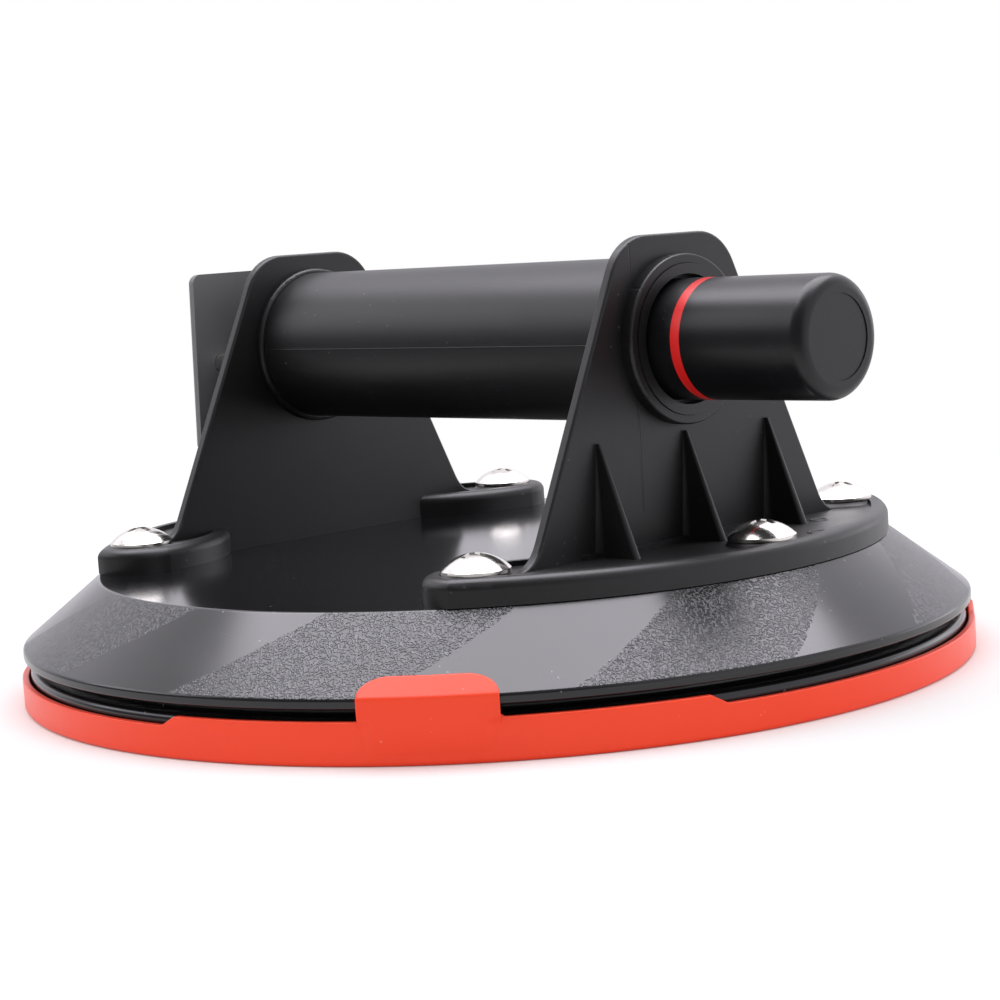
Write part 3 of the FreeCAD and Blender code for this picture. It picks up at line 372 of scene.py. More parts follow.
# plastic with mottled colour and gloss, a fine texture, scuffs and dust
def makePlastic(name, look):
    p = plasticSet
    material, tree, shader, coords = newMaterial(name)
    skin = useGroup(tree, mouldedSkin, {"Vector": coords})
    marks = useGroup(tree, handlingMarks, {"Vector": coords, "Dust": look["dustAmount"]})
    scuffs = calc(tree, "MULTIPLY", marks["Scuff"], p["scuffAmount"])
    base = blendColour(tree, skin["Mottle"], colour(*look["dark"]), colour(*look["light"]))
    base = blendColour(tree, scuffs, base, colour(*p["scuffColour"]))
    base = blendColour(tree, marks["Dust"], base, colour(*look["dust"]))
    low, high = look["roughness"]
    rough = calc(tree, "MULTIPLY_ADD", skin["Mottle"], high - low, low)
    rough = calc(tree, "MULTIPLY_ADD", marks["Scuff"], p["scuffRoughness"], rough)
    normal = bumpFrom(tree, skin["Wave"], p["waveDepth"], p["waveStrength"])
    normal = bumpFrom(tree, skin["Texture"], p["fineDepth"], p["fineStrength"], normal)
    if "insert" in look:
        normal = addInsertLine(tree, coords, look["insert"], normal)
    feed(tree, shader, {"Base Color": base, "Roughness": rough, "Normal": normal,
                        "Specular IOR Level": look["specular"]})
    return material


handlePlastic = makePlastic("handlePlastic", handleLook)
bushPlastic = makePlastic("bushPlastic", bushLook)
plungerPlastic = makePlastic("plungerPlastic", plungerLook)
releasePlasticWithPaintedLight = makePlastic("releasePlasticWithPaintedLight", plateLookWithPaintedLight)

# rubber of the pad: glossy smooth fields; grained fields whose ridges carry a painted highlight and whose
# creases a painted shade; dust specks
padLook = {
    "dark": (0.0040, 0.0040, 0.0046),
    "light": (0.0075, 0.0075, 0.0086),
    "paintedCreaseShade": (0.003, 0.003, 0.0035),
    "paintedRidgeHighlight": (0.060, 0.060, 0.067),
    "dust": (0.25, 0.25, 0.25),
    "dustAmount": 0.64,
    "smoothRoughness": 0.20,
    "mottleRoughness": 0.10,    # how much the gloss varies
    "scuffRoughness": 0.10,
    "grainedRoughness": 0.27,
    "plateauRoughness": 0.13,
    "plateauHeight": (24.9 * mm, 25.1 * mm),
    "fine": 1800.0,
    "waveDepth": 0.0010,
    "waveStrength": 0.10,
    "grainDepth": 0.00013,
    "grainStrength": 0.6,
    "specular": 0.5,
}


# value + amount * (goal - value)
def towards(tree, amount, value, goal):
    return calc(tree, "ADD", value, calc(tree, "MULTIPLY", amount, calc(tree, "SUBTRACT", goal, value)))


def makePadRubber():
    look = padLook
    material, tree, shader, coords = newMaterial("padRubber")
    grained = useGroup(tree, skirtFields, {"Vector": coords})["Grained"]
    grain = useGroup(tree, leatherGrain, {"Vector": coords})["Height"]
    skin = useGroup(tree, mouldedSkin, {"Vector": coords, "Fine": look["fine"]})
    marks = useGroup(tree, handlingMarks, {"Vector": coords, "Dust": look["dustAmount"]})
    smooth = blendColour(tree, skin["Mottle"], colour(*look["dark"]), colour(*look["light"]))
    # painted light on the grain: ridges lighter and creases darker in colour, standing in for how light falls
    # on the relief
    grainPaintedLightAndShade = blendColour(tree, grain, colour(*look["paintedCreaseShade"]), colour(*look["paintedRidgeHighlight"]))
    base = blendColour(tree, grained, smooth, grainPaintedLightAndShade)
    base = blendColour(tree, marks["Dust"], base, colour(*look["dust"]))
    glossiest = look["smoothRoughness"] - look["mottleRoughness"] / 2
    rough = calc(tree, "MULTIPLY_ADD", skin["Mottle"], look["mottleRoughness"], glossiest)
    rough = calc(tree, "MULTIPLY_ADD", marks["Scuff"], look["scuffRoughness"], rough)
    rough = towards(tree, grained, rough, look["grainedRoughness"])
    onPlateau = stepUp(tree, splitXyz(tree, coords)[2], *look["plateauHeight"])
    rough = towards(tree, onPlateau, rough, look["plateauRoughness"])
    relief = calc(tree, "MULTIPLY", grain, grained)
    normal = bumpFrom(tree, skin["Wave"], look["waveDepth"], look["waveStrength"])
    normal = bumpFrom(tree, relief, look["grainDepth"], look["grainStrength"], normal)
    feed(tree, shader, {"Base Color": base, "Roughness": rough, "Normal": normal,
                        "Specular IOR Level": look["specular"]})
    return material


padRubber = makePadRubber()

# orange-red plastic of the cover
coverLook = {
    "deep": (0.84, 0.048, 0.011),
    "pale": (0.88, 0.056, 0.014),
    "dust": (0.9, 0.5, 0.4),
    "dustAmount": 0.25,
    "roughness": (0.28, 0.36),
    "fine": 2200.0,
    "waveDepth": 0.0008,
    "waveStrength": 0.12,
    "fineDepth": 0.00004,
    "fineStrength": 0.3,
    "specular": 0.34,
}


def makeCoverPlastic():
    look = coverLook
    material, tree, shader, coords = newMaterial("coverPlastic")
    skin = useGroup(tree, mouldedSkin, {"Vector": coords, "Fine": look["fine"]})
    marks = useGroup(tree, handlingMarks, {"Vector": coords, "Dust": look["dustAmount"]})
    base = blendColour(tree, skin["Mottle"], colour(*look["deep"]), colour(*look["pale"]))
    base = blendColour(tree, marks["Dust"], base, colour(*look["dust"]))
    low, high = look["roughness"]
    rough = calc(tree, "MULTIPLY_ADD", skin["Mottle"], high - low, low)
    normal = bumpFrom(tree, skin["Wave"], look["waveDepth"], look["waveStrength"])
    normal = bumpFrom(tree, skin["Texture"], look["fineDepth"], look["fineStrength"], normal)
    feed(tree, shader, {"Base Color": base, "Roughness": rough, "Normal": normal,
                        "Specular IOR Level": look["specular"]})
    return material


coverPlastic = makeCoverPlastic()

# the small pieces' finishes: two colours, two roughnesses, metal or not, scale and depth of the fine bump
finishSet = {
    "bandRed": ((0.66, 0.010, 0.009), (0.76, 0.016, 0.014), (0.30, 0.40), 0.0, 2400.0, 0.00003),
    "brightSteel": ((0.68, 0.66, 0.62), (0.80, 0.77, 0.72), (0.13, 0.22), 1.0, 900.0, 0.00001),
    "dullSteel": ((0.50, 0.50, 0.52), (0.62, 0.62, 0.63), (0.30, 0.42), 1.0, 2400.0, 0.00003),
    "drawnAluminium": ((0.62, 0.62, 0.64), (0.74, 0.74, 0.75), (0.26, 0.36), 1.0, 2400.0, 0.00003),
    "turnedBrass": ((0.66, 0.46, 0.18), (0.78, 0.56, 0.24), (0.22, 0.34), 1.0, 2400.0, 0.00003),
    "sealRubber": ((0.010, 0.010, 0.010), (0.020, 0.020, 0.020), (0.45, 0.60), 0.0, 1600.0, 0.00006),
    "feltDisc": ((0.38, 0.37, 0.34), (0.52, 0.51, 0.47), (0.85, 0.95), 0.0, 3000.0, 0.0002),
}
finishBump = 0.3


def makeFinish(name, deep, pale, roughness, metallic, fine, depth):
    material, tree, shader, coords = newMaterial(name)
    skin = useGroup(tree, mouldedSkin, {"Vector": coords, "Fine": fine})
    low, high = roughness
    feed(tree, shader, {"Base Color": blendColour(tree, skin["Mottle"], colour(*deep), colour(*pale)),
                        "Roughness": calc(tree, "MULTIPLY_ADD", skin["Mottle"], high - low, low),
                        "Normal": bumpFrom(tree, skin["Texture"], depth, finishBump),
                        "Metallic": metallic})
    return material


finishes = {name: makeFinish(name, *values) for name, values in finishSet.items()}
finishOfSlot = {
    "handle_plastic": handlePlastic,
    "pad_rubber": padRubber,
    "cover_plastic": coverPlastic,
    "plunger_plastic": plungerPlastic,
    "band_red": finishes["bandRed"],
    "bush_plastic": bushPlastic,
    "polished_steel": finishes["brightSteel"],
    "zinc_steel": finishes["dullSteel"],
    "spring_steel": finishes["dullSteel"],
    "barrel_aluminium": finishes["drawnAluminium"],
    "brass": finishes["turnedBrass"],
    "seal_rubber": finishes["sealRubber"],
    "filter_felt": finishes["feltDisc"],
}
for entry in frame["record"]["subparts"]:
    node = nodes[entry["node"]]
    node.data.materials.clear()
    node.data.materials.append(finishOfSlot[entry["material_slot"]])
# the release plate's lighter grey is partly painted light on its shaded face
nodes["release_plate"].data.materials[0] = releasePlasticWithPaintedLight
print("finishes set")


# mesh tools: faces join neighbours of a rows x columns grid, closed round where asked
def gridFaces(rows, columns, closeRows=False, closeColumns=False):
    row = np.arange(rows if closeRows else rows - 1)[:, None]
    column = np.arange(columns if closeColumns else columns - 1)[None, :]
    nextRow, nextColumn = (row + 1) % rows, (column + 1) % columns
    corners = np.broadcast_arrays(row * columns + column, nextRow * columns + column,
                                  nextRow * columns + nextColumn, row * columns + nextColumn)
    return np.stack(corners, axis=-1).reshape(-1, 4)


# several grids as one mesh: each one's faces count on from the points before it
def joinGrids(grids):
    points = [spots.reshape(-1, 3) for spots, quads in grids]
    starts = np.cumsum([0] + [len(spots) for spots in points])
    quads = [quads + start for (spots, quads), start in zip(grids, starts)]
    return np.concatenate(points), np.concatenate(quads)


# points in millimetres become the piece's mesh
def makePiece(name, points, quads, body, slotName):
    mesh = bpy.data.meshes.new(name)
    points = np.asarray(points * mm, dtype=np.float32).reshape(-1, 3)
    quads = np.asarray(quads, dtype=np.int32).reshape(-1, 4)
    mesh.vertices.add(len(points))
    mesh.vertices.foreach_set("co", points.ravel())
    mesh.loops.add(quads.size)
    mesh.loops.foreach_set("vertex_index", quads.ravel())
    mesh.polygons.add(len(quads))
    mesh.polygons.foreach_set("loop_start", np.arange(0, quads.size, 4, dtype=np.int32))
    mesh.polygons.foreach_set("use_smooth", np.ones(len(quads), dtype=bool))
    mesh.update(calc_edges=True)
    mesh.validate()
    mesh.materials.append(finishOfSlot[slotName])
    piece = bpy.data.objects.new(name, mesh)
    scene.collection.objects.link(piece)
    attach(piece, body)
    return piece


def fullTurn(steps):
    return np.linspace(0, 2 * np.pi, steps, endpoint=False)[:, None]


# a section carried round an upright axis: x = X + r cos a, y = Y + r sin a
def carryRound(radius, height, turns, centre=(0.0, 0.0)):
    angle = fullTurn(turns)
    x, y = centre[0] + radius * np.cos(angle), centre[1] + radius * np.sin(angle)
    points = np.stack(np.broadcast_arrays(x, y, height), axis=2)
    return points, gridFaces(*points.shape[:2], closeRows=True)


# way round a low bead, from a little under the surface on one side to the same on the other
def beadTurn(steps, under=0.3):
    return np.linspace(-under, np.pi + under, steps)[None, :]


# 0 below 0, 1 above 1, and 3 t^2 - 2 t^3 between
def ease(t):
    t = np.clip(t, 0, 1)
    return t * t * (3 - 2 * t)


# rounds the corners of a profile: each corner (across, up, radius) becomes an arc of the given steps between
# the points where the radius touches both sides, with a guard point just outside each end
def roundedProfile(corners, steps=7, guard=0.12):
    spots = np.array(corners, dtype=float)
    place, radius = spots[:, :2], spots[:, 2]
    toBack = np.roll(place, 1, axis=0) - place
    toFront = np.roll(place, -1, axis=0) - place
    toBack /= np.linalg.norm(toBack, axis=1, keepdims=True) + tiny
    toFront /= np.linalg.norm(toFront, axis=1, keepdims=True) + tiny
    half = np.arccos(np.clip((toBack * toFront).sum(axis=1), -1, 1)) / 2
    trim = radius / np.tan(half)
    middle = toBack + toFront
    middle /= np.linalg.norm(middle, axis=1, keepdims=True) + tiny
    centre = place + middle * (radius / np.sin(half))[:, None]
    begin = (place + toBack * trim[:, None] - centre)[:, None]
    finish = (place + toFront * trim[:, None] - centre)[:, None]
    share = np.linspace(0, 1, steps)[None, :, None]
    sweep = (math.pi - 2 * half)[:, None, None]
    arc = (np.sin((1 - share) * sweep) * begin + np.sin(share * sweep) * finish) / np.sin(sweep)
    before = (place + toBack * (trim + guard)[:, None])[:, None]
    after = (place + toFront * (trim + guard)[:, None])[:, None]
    rows = np.concatenate([before, arc + centre[:, None], after], axis=1)
    rows[0], rows[-1] = place[0], place[-1]
    return rows.reshape(-1, 2)


poleRadius = 0.02    # of the small hole that stands for a pole, mm
pathEnd = 0.01       # corner radius at an open profile's ends, mm

# rubber pad, profile as (radius, height, corner radius), from the middle underneath to the middle on top
padSet = {
    "radius": 101.6,
    "profile": [(0.0, 11.5, 0.3), (83.3, 11.5, 0.4), (83.3, 8.5, 0.5), (88.0, 5.0, 1.2), (94.9, 1.9, 0.8),
                (100.4, 1.9, 0.7), (100.4, 8.2, 1.3), (95.5, 8.2, 0.7), (95.5, 10.3, 0.7),
                (101.6, 10.3, 0.55), (101.6, 12.15, 0.8), (84.8, 25.2, 1.2), (0.0, 25.2, 0.3)],
    "turns": 432,
}


# the profile carried round Z; the first and last column meet in a pole each
def makePad():
    profile = roundedProfile(padSet["profile"])
    radius = np.clip(profile[:, 0], poleRadius, padSet["radius"])
    points, quads = carryRound(radius, profile[:, 1], padSet["turns"])
    return makePiece("padSkin", points, quads, "handle", "pad_rubber")


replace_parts(makePad(), "rubber_pad")
print("pad made")

# protective cover: tray with a wall that stands higher beside the hooks, and three hook tabs
coverSet = {
    "radius": 102.2,
    "wall": 1.4,
    "floor": 1.6,
    "lowWall": 6.3,
    "highWall": 8.2,
    "raisedAngle": 58.0,
    "ramp": 3.4,
    "footRound": 0.9,
    "rimRound": 0.3,
    "floorRound": 0.8,
    "poleRound": 0.2,
    "rising": 0.7,         # this much of the low wall, below its rim, moves up with the wall's height
    "guard": 0.08,
    "arcSteps": 6,
    "turns": 960,
    "tabs": 3,
    "firstTab": -51.1,
    "tabAngle": 14.4,
    "tabOuter": 103.3,
    "tabInner": 101.9,
    "shoulder": (12.6, 0.8),         # height and corner radius of the tab's outer bend
    "innerShoulder": (12.9, 0.25),
    "hookRadius": 99.4,
    "hookTop": 16.14,
    "hookUnder": 14.46,
    "cornerWidth": 6.0,    # the hook's rounded corners, across the tab and along it
    "cornerReach": 4.6,
    "tabEdge": 0.40,
    "edgeShare": 0.45,     # an edge's rounding takes at most this share of the thickness
    "sunk": 0.05,          # the tab's foot starts this far under the wall's face
    "leanTop": 9.0,        # the tab leans out from its foot up to this height
    "fairing": 3.5,        # width of the run-out into the wall at each side
    "fairEnds": (6.6, 9.0),    # heights between which the run-out ends
    "rootFillet": 0.7,
    "tabGrid": (81, 73),
    "tabCrowding": 0.9,    # below 1, the rows lie closer towards the hook
    "tabArcSteps": 9,
}


# wall height: low + rise * ramp of the distance from the raised stretch's end, with a small concave fillet
# up each side of a tab
def wallHeight(angle):
    s = coverSet
    pitch = 2 * np.pi / s["tabs"]
    away = (angle - math.radians(s["firstTab"]) + pitch / 2) % pitch - pitch / 2
    arc = np.abs(away) * s["radius"]
    half = math.radians(s["raisedAngle"] / 2) * s["radius"]
    lift = np.clip((half + s["ramp"] - arc) / s["ramp"], 0, 1)
    height = s["lowWall"] + (s["highWall"] - s["lowWall"]) * lift
    tabHalf = math.radians(s["tabAngle"] / 2) * s["radius"]
    beside = np.clip(arc - tabHalf, 0, s["rootFillet"]) / s["rootFillet"]
    return height + s["rootFillet"] * (1 - np.sqrt(1 - (1 - beside) ** 2))


# the wall's section carried round Z; the upper part of the section moves up with the wall's height
def makeTray():
    s = coverSet
    inner = s["radius"] - s["wall"]
    corners = [(0.0, 0.0, s["poleRound"]), (s["radius"], 0.0, s["footRound"]),
               (s["radius"], s["lowWall"], s["rimRound"]), (inner, s["lowWall"], s["rimRound"]),
               (inner, s["floor"], s["floorRound"]), (0.0, s["floor"], s["poleRound"])]
    profile = roundedProfile(corners, s["arcSteps"], s["guard"])
    radius = np.clip(profile[:, 0], poleRadius, s["radius"])
    rising = (profile[:, 1] > s["lowWall"] - s["rising"])[None, :]
    lifted = rising * (wallHeight(fullTurn(s["turns"])) - s["lowWall"])
    return carryRound(radius, profile[:, 1] + lifted, s["turns"])


# distance along a path at each of its points
def runOf(path):
    return np.concatenate([[0], np.cumsum(np.linalg.norm(np.diff(path, axis=0), axis=1))])


# points of a path at shares of its length
def follow(path, shares):
    run = runOf(path)
    return np.interp(shares, run / run[-1], path[:, 0]), np.interp(shares, run / run[-1], path[:, 1])


# one tab: rows run across it, columns up the wall and over onto the hook; outer and inner skins follow two
# paths with the same share of their length, which near the sides ends earlier, by
# reach * (1 - sqrt(1 - (1 - d / width)^2)); below the wall's rim the outer skin runs out into the wall,
# towards its foot and towards both sides
def makeTab(turn):
    s = coverSet
    foot = s["footRound"]
    outerPath = roundedProfile([(s["tabOuter"], foot, pathEnd), (s["tabOuter"], *s["shoulder"]),
                                (s["hookRadius"], s["hookTop"], pathEnd)], s["tabArcSteps"])
    innerPath = roundedProfile([(s["tabInner"], foot, pathEnd), (s["tabInner"], *s["innerShoulder"]),
                                (s["hookRadius"], s["hookUnder"], pathEnd)], s["tabArcSteps"])
    length = runOf(outerPath)[-1]
    halfAngle = math.radians(s["tabAngle"] / 2)
    across = np.sin(np.linspace(-np.pi / 2, np.pi / 2, s["tabGrid"][0]))[:, None]
    side = np.clip((1 - np.abs(across)) * halfAngle * s["tabOuter"], 0, None)
    cut = np.clip(1 - side / s["cornerWidth"], 0, 1)
    reach = 1 - s["cornerReach"] / length * (1 - np.sqrt(1 - cut ** 2))
    share = np.linspace(0, 1, s["tabGrid"][1])[None, :] ** s["tabCrowding"]
    outerR, outerZ = follow(outerPath, reach * share)
    innerR, innerZ = follow(innerPath, reach * share)
    lean = ease((outerZ - foot) / (s["leanTop"] - foot))
    above = ease((outerZ - s["fairEnds"][0]) / (s["fairEnds"][1] - s["fairEnds"][0]))
    proud = lean * (above + (1 - above) * ease(side / s["fairing"]))
    outerR = outerR - (s["tabOuter"] - s["radius"] + s["sunk"]) * (1 - proud)
    wayR, wayZ = innerR - outerR, innerZ - outerZ
    thick = np.hypot(wayR, wayZ)
    toEdge = np.clip(s["tabEdge"] - np.minimum(side, (1 - share) * length), 0, None)
    inset = np.minimum(s["tabEdge"] - np.sqrt(s["tabEdge"] ** 2 - toEdge ** 2), s["edgeShare"] * thick)
    insetR, insetZ = wayR / thick * inset, wayZ / thick * inset
    skinR = np.concatenate([innerR - insetR, (outerR + insetR)[:, ::-1]], axis=1)
    skinZ = np.concatenate([innerZ - insetZ, (outerZ + insetZ)[:, ::-1]], axis=1)
    angle = turn + across * halfAngle
    points = np.stack([skinR * np.cos(angle), skinR * np.sin(angle), skinZ], axis=2)
    rows, columns = skinR.shape
    quads = [gridFaces(rows, columns, closeColumns=True)[:, ::-1]]
    step = np.arange(columns // 2 - 1)
    for row, flip in ((0, 1), (rows - 1, -1)):
        ladder = np.stack([step, step + 1, columns - 2 - step, columns - 1 - step], axis=1)
        quads.append(row * columns + ladder[:, ::flip])
    return points, np.concatenate(quads)


def makeCover():
    pitch = 360 / coverSet["tabs"]
    tabs = [makeTab(math.radians(coverSet["firstTab"] + pitch * tab)) for tab in range(coverSet["tabs"])]
    return makePiece("coverShell", *joinGrids([makeTray()] + tabs), "cover", "cover_plastic")


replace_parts(makeCover(), "protective_cover", "cover_tabs")
print("cover made")

# parting seam of the grip: a low bead along both sides at the height of its axis
seamSet = {
    "axisHeight": 69.4,
    "gripRadius": 16.5,
    "halfLength": 52.6,
    "halfWidth": 0.16,
    "proud": 0.07,
    "grid": (41, 13),
}


# half an ellipse carried along X: z = axis + w cos t, y = side * (grip + h sin t)
def makeSeam():
    s = seamSet
    turn = beadTurn(s["grid"][1])
    along = np.linspace(-s["halfLength"], s["halfLength"], s["grid"][0])[:, None]
    height = s["axisHeight"] + s["halfWidth"] * np.cos(turn)
    grids = []
    for side in (-1, 1):
        y = side * (s["gripRadius"] + s["proud"] * np.sin(turn))
        points = np.stack(np.broadcast_arrays(along, y, height), axis=2)
        grids.append((points, gridFaces(*points.shape[:2])[:, ::side]))
    return makePiece("gripSeam", *joinGrids(grids), "handle", "handle_plastic")


makeSeam()
print("grip seam made")

# toes of the brackets: where each flared edge runs out onto the foot
toeSet = {
    "floor": 29.4,
    "inner": 54.95,
    "outer": 57.25,
    "flareMiddle": (49.85, 37.77),
    "flareRadius": 9.0,
    "leaveAngle": 45.0,    # degrees, where the toe leaves the flare
    "edge": 0.5,
    "edgeSteps": 7,
    "sink": 0.3,
    "rows": 25,
}


# the flare's hollow arc goes over into a smaller one that ends level with the floor: y = middle - r cos t,
# z = middle - r sin t; across, the section is flat with both edges rounded
def makeToes():
    s = toeSet
    leave = math.radians(s["leaveAngle"])
    beginY = s["flareMiddle"][0] - s["flareRadius"] * math.cos(leave)
    beginZ = s["flareMiddle"][1] - s["flareRadius"] * math.sin(leave)
    radius = (beginZ - s["floor"]) / (1 - math.sin(leave))
    turn = np.linspace(leave, math.pi / 2, s["rows"])[:, None]
    y = beginY + radius * (math.cos(leave) - np.cos(turn))
    z = beginZ + radius * (math.sin(leave) - np.sin(turn))
    corner = np.linspace(0, math.pi / 2, s["edgeSteps"])
    fromEdge = s["edge"] * (1 - np.cos(corner))
    drop = s["edge"] * (1 - np.sin(corner))
    inner, outer = s["inner"] + fromEdge, (s["outer"] - fromEdge)[::-1]
    across = np.concatenate([[s["inner"]], inner, outer, [s["outer"]]])[None, :]
    lower = np.concatenate([[0], drop, drop[::-1], [0]])[None, :]
    top = np.maximum(z - lower, s["floor"] - s["sink"])
    top[:, [0, -1]] = s["floor"] - s["sink"]
    grids = []
    for end in (-1, 1):
        for side in (-1, 1):
            points = np.stack(np.broadcast_arrays(end * across, side * y, top), axis=2)
            grids.append((points, gridFaces(*points.shape[:2])[:, ::-end * side]))
    return makePiece("bracketToes", *joinGrids(grids), "handle", "handle_plastic")


makeToes()
print("bracket toes made")

# round marks left by the mould's ejector pins on the right foot: (x, y, radius)
ejectorSet = {
    "marks": [(65.3, 31.2, 1.7), (77.0, 16.8, 2.4)],
    "floor": 29.4,
    "proud": 0.18,
    "halfWidth": 0.28,
    "turns": 64,
    "steps": 11,
}


# a low round bead on a circle: r = R + w cos t, z = floor + h sin t
def makeEjectorMarks():
    s = ejectorSet
    turn = beadTurn(s["steps"])
    height = s["floor"] + s["proud"] * np.sin(turn)
    grids = [carryRound(size + s["halfWidth"] * np.cos(turn), height, s["turns"], (x, y))
             for x, y, size in s["marks"]]
    return makePiece("ejectorMarks", *joinGrids(grids), "handle", "handle_plastic")


makeEjectorMarks()
print("ejector marks made")

# collars of the screw lands: each land widens from under the head down to the foot's floor
collarSet = {
    "profile": [(5.2, 30.37, pathEnd), (6.5, 30.37, 0.35), (7.3, 29.3, pathEnd)],    # radius, height, corner
    "boltCircle": 76.0,
    "tipY": 54.86,
    "turns": 72,
}


# the profile carried round each screw's axis
def makeCollars():
    s = collarSet
    radius, height = roundedProfile(s["profile"]).T
    tipX = math.sqrt(s["boltCircle"] ** 2 - s["tipY"] ** 2)
    grids = []
    for end in (-1, 1):
        for x, y in ((s["boltCircle"], 0.0), (tipX, s["tipY"]), (tipX, -s["tipY"])):
            points, quads = carryRound(radius, height, s["turns"], (end * x, y))
            grids.append((points, quads[:, ::-1]))
    return makePiece("landCollars", *joinGrids(grids), "handle", "handle_plastic")


makeCollars()
print("land collars made")

# coil springs in the grip, as long and wide as their nodes; each names its joint and its fixed end, 0 the one
# at low x and 1 the one at high x, but is built once at its rest length and does not shorten as the joint
# moves
springSet = {
    "pumpCoil": {"node": "pump_spring", "wire": 0.75, "turns": 7, "joint": "plunger_slide", "fixed": 0},
    "returnCoil": {"node": "return_spring", "wire": 0.45, "turns": 4, "joint": "release_slide", "fixed": 1},
}
coilGrid = (56, 14)    # rings to a turn, sides of the wire
coilTip = 0.002        # radius of the wire's closed ends, mm


# a wire round a helix: centre = (x0 + L t, y0 + R cos a, z0 + R sin a), the wire's circle lies across the
# helix's way; the first and last ring shrink nearly to a point
def makeSpring(name, s):
    low, high = (np.array(corner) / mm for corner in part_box(s["node"]))
    middle = (low + high) / 2
    radius = (high[1] - low[1]) / 2 - s["wire"]
    length = high[0] - low[0] - 2 * s["wire"]
    share = np.linspace(0, 1, s["turns"] * coilGrid[0] + 1)
    share = np.concatenate([[0], share, [1]])[:, None, None]
    turn = 2 * np.pi * s["turns"] * share
    outward = np.concatenate([0 * turn, np.cos(turn), np.sin(turn)], axis=2)
    pitch = length / (2 * np.pi * s["turns"])
    onward = np.concatenate([0 * turn + pitch, -radius * np.sin(turn), radius * np.cos(turn)], axis=2)
    onward /= np.linalg.norm(onward, axis=2, keepdims=True)
    beside = np.cross(onward, outward)
    centre = radius * outward + np.array([0.0, middle[1], middle[2]])
    centre[:, :, :1] += low[0] + s["wire"] + length * share
    wire = np.full(share.shape, s["wire"])
    wire[[0, -1]] = coilTip
    girth = fullTurn(coilGrid[1])[None]
    points = centre + wire * (np.cos(girth) * outward + np.sin(girth) * beside)
    quads = gridFaces(*points.shape[:2], closeColumns=True)[:, ::-1]
    piece = makePiece(name, points, quads, "handle", "spring_steel")
    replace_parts(piece, s["node"])
    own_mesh(piece)


for springName, springSizes in springSet.items():
    makeSpring(springName, springSizes)
print("springs made")

# floor, backdrop and light: white all round for the camera, while shiny faces turned to the front find a
# darker room
stageSet = {
    "floorSize": 6.0,
    "floorColour": (0.80, 0.80, 0.80),
    "floorGlow": 0.06,
    "whiteFrom": 0.16,
    "whiteTo": 0.42,
    "fill": 0.88,
    "tint": (1.0, 0.975, 1.045),    # of everything that shiny faces mirror
    "frontRoom": 0.20,
    "roomFrom": -0.55,    # the front room ends between these shares of the way back
    "roomTo": 0.15,
    "nearest": 0.001,     # keeps the way back defined at the floor's middle
}


# brightness that a mirrored ray finds: the front room for rays that go forwards, white for those that go back
def mirroredRoom(tree, wayBack):
    s = stageSet
    opened = stepUp(tree, wayBack, s["roomFrom"], s["roomTo"])
    return calc(tree, "MULTIPLY_ADD", opened, 1.0 - s["frontRoom"], s["frontRoom"])


# white of strength 1 for camera and transmission rays, the tinted room for glossy ones; the last value is 1
# for all three
def raySorts(tree, wayBack):
    rays = addNode(tree, "ShaderNodeLightPath").outputs
    glossy = rays["Is Glossy Ray"]
    direct = calc(tree, "MAXIMUM", rays["Is Camera Ray"], rays["Is Transmission Ray"])
    strength = calc(tree, "MAXIMUM", direct, calc(tree, "MULTIPLY", glossy, mirroredRoom(tree, wayBack)))
    shade = blendColour(tree, glossy, colour(1, 1, 1), colour(*stageSet["tint"]))
    return shade, strength, calc(tree, "MAXIMUM", direct, glossy)


# pale paper with a little glow, which takes the object's shadow, and white further out
def makeFloorPaper():
    s = stageSet
    material = bpy.data.materials.new("floorPaper")
    material.use_nodes = True
    tree = material.node_tree
    tree.nodes.clear()
    coords = addNode(tree, "ShaderNodeTexCoord").outputs["Object"]
    away = addNode(tree, "ShaderNodeVectorMath", {0: coords}, operation="LENGTH").outputs["Value"]
    wayBack = calc(tree, "DIVIDE", splitXyz(tree, coords)[1], calc(tree, "ADD", away, s["nearest"]))
    shade, strength, seen = raySorts(tree, wayBack)
    far = calc(tree, "MULTIPLY", stepUp(tree, away, s["whiteFrom"], s["whiteTo"]), seen)
    paper = addNode(tree, "ShaderNodeBsdfDiffuse", {"Color": colour(*s["floorColour"])}).outputs[0]
    glowing = calc(tree, "MULTIPLY", strength, s["floorGlow"])
    glow = addNode(tree, "ShaderNodeEmission", {"Strength": glowing}).outputs[0]
    near = addNode(tree, "ShaderNodeAddShader", {0: paper, 1: glow}).outputs[0]
    white = addNode(tree, "ShaderNodeEmission", {"Color": shade, "Strength": strength}).outputs[0]
    mix = addNode(tree, "ShaderNodeMixShader", {0: far, 1: near, 2: white}).outputs[0]
    addNode(tree, "ShaderNodeOutputMaterial", {"Surface": mix})
    return material


def makeFloor():
    half = stageSet["floorSize"] / 2
    corners = [(-half, -half, 0), (half, -half, 0), (half, half, 0), (-half, half, 0)]
    mesh = bpy.data.meshes.new("floor")
    mesh.from_pydata(corners, [], [(0, 1, 2, 3)])
    mesh.materials.append(makeFloorPaper())
    floor = bpy.data.objects.new("floor", mesh)
    scene.collection.objects.link(floor)


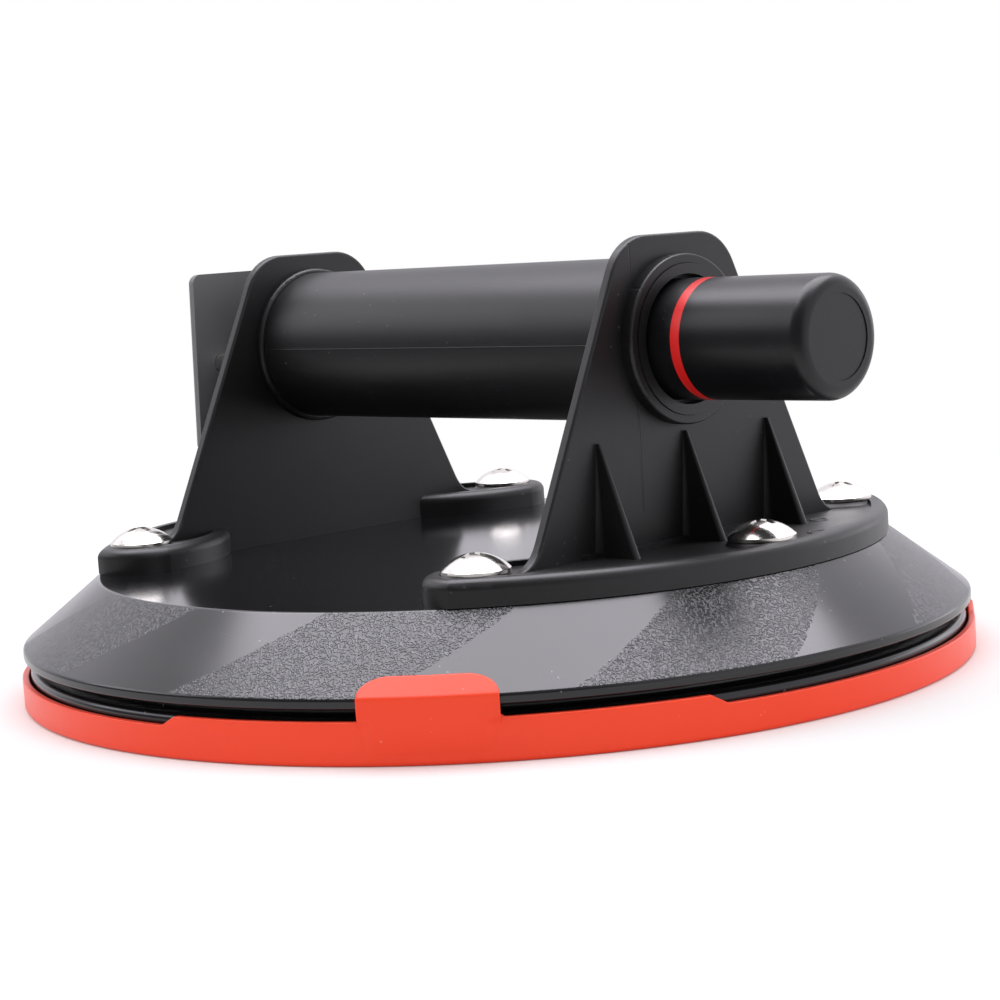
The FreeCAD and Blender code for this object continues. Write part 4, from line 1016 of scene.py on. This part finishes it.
# soft fill light all round; the camera and shiny faces see the white backdrop instead
def makeWorld():
    world = bpy.data.worlds.new("studio")
    scene.world = world
    world.use_nodes = True
    tree = world.node_tree
    tree.nodes.clear()
    way = addNode(tree, "ShaderNodeTexCoord").outputs["Generated"]
    shade, strength, seen = raySorts(tree, splitXyz(tree, way)[1])
    fill = {"Color": colour(1, 1, 1), "Strength": stageSet["fill"]}
    soft = addNode(tree, "ShaderNodeBackground", fill).outputs[0]
    white = addNode(tree, "ShaderNodeBackground", {"Color": shade, "Strength": strength}).outputs[0]
    mix = addNode(tree, "ShaderNodeMixShader", {0: seen, 1: soft, 2: white}).outputs[0]
    addNode(tree, "ShaderNodeOutputWorld", {"Surface": mix})


# lamps: place, size across the view and along it, watts; a panel is seen only in shiny faces, a softbox only
# lights
lampSet = {
    "topSoftbox": ((-0.12, 0.10, 1.10), (0.95, 0.95), 6.0),
    "leftSoftbox": ((-0.80, -0.60, 0.60), (0.50, 0.70), 2.0),
    "rightSoftbox": ((0.75, 0.75, 0.40), (0.60, 0.60), 2.2),
    "topPanel": ((-0.08, 0.15, 1.06), (1.56, 0.90), 27.5),
    "leftPanel": ((-1.20, -0.05, 1.06), (1.00, 1.00), 1.4),
    "backPanel": ((0.42, 1.40, 0.16), (0.90, 0.40), 1.4),
    "rightPanel": ((-0.10, 1.38, 0.74), (1.60, 1.20), 2.2),
    "frontPanel": ((-0.77, -0.58, 0.58), (0.50, 0.70), 2.2),
}
lampAim = Vector((0, 0, 0.05))


# a lamp looks at the object along its own -Z, with its X across the photograph's view
def areaLight(name, place, size, watts):
    data = bpy.data.lights.new(name, "AREA")
    data.shape = "RECTANGLE"
    data.size, data.size_y = size
    data.energy = watts
    data.color = stageSet["tint"]
    lamp = bpy.data.objects.new(name, data)
    scene.collection.objects.link(lamp)
    back = (Vector(place) - lampAim).normalized()
    turn = math.radians(cameraSet["azimuth"])
    across = Vector((math.cos(turn), math.sin(turn), 0.0))
    across = (across - across.dot(back) * back).normalized()
    basis = Matrix((across, back.cross(across), back)).transposed().to_4x4()
    lamp.matrix_world = Matrix.Translation(place) @ basis
    lamp.visible_camera = False
    lamp.visible_diffuse = not name.endswith("Panel")
    lamp.visible_glossy = name.endswith("Panel")


makeFloor()
makeWorld()
for lampName, (place, size, watts) in lampSet.items():
    areaLight(lampName, place, size, watts)
print("stage and lights set")
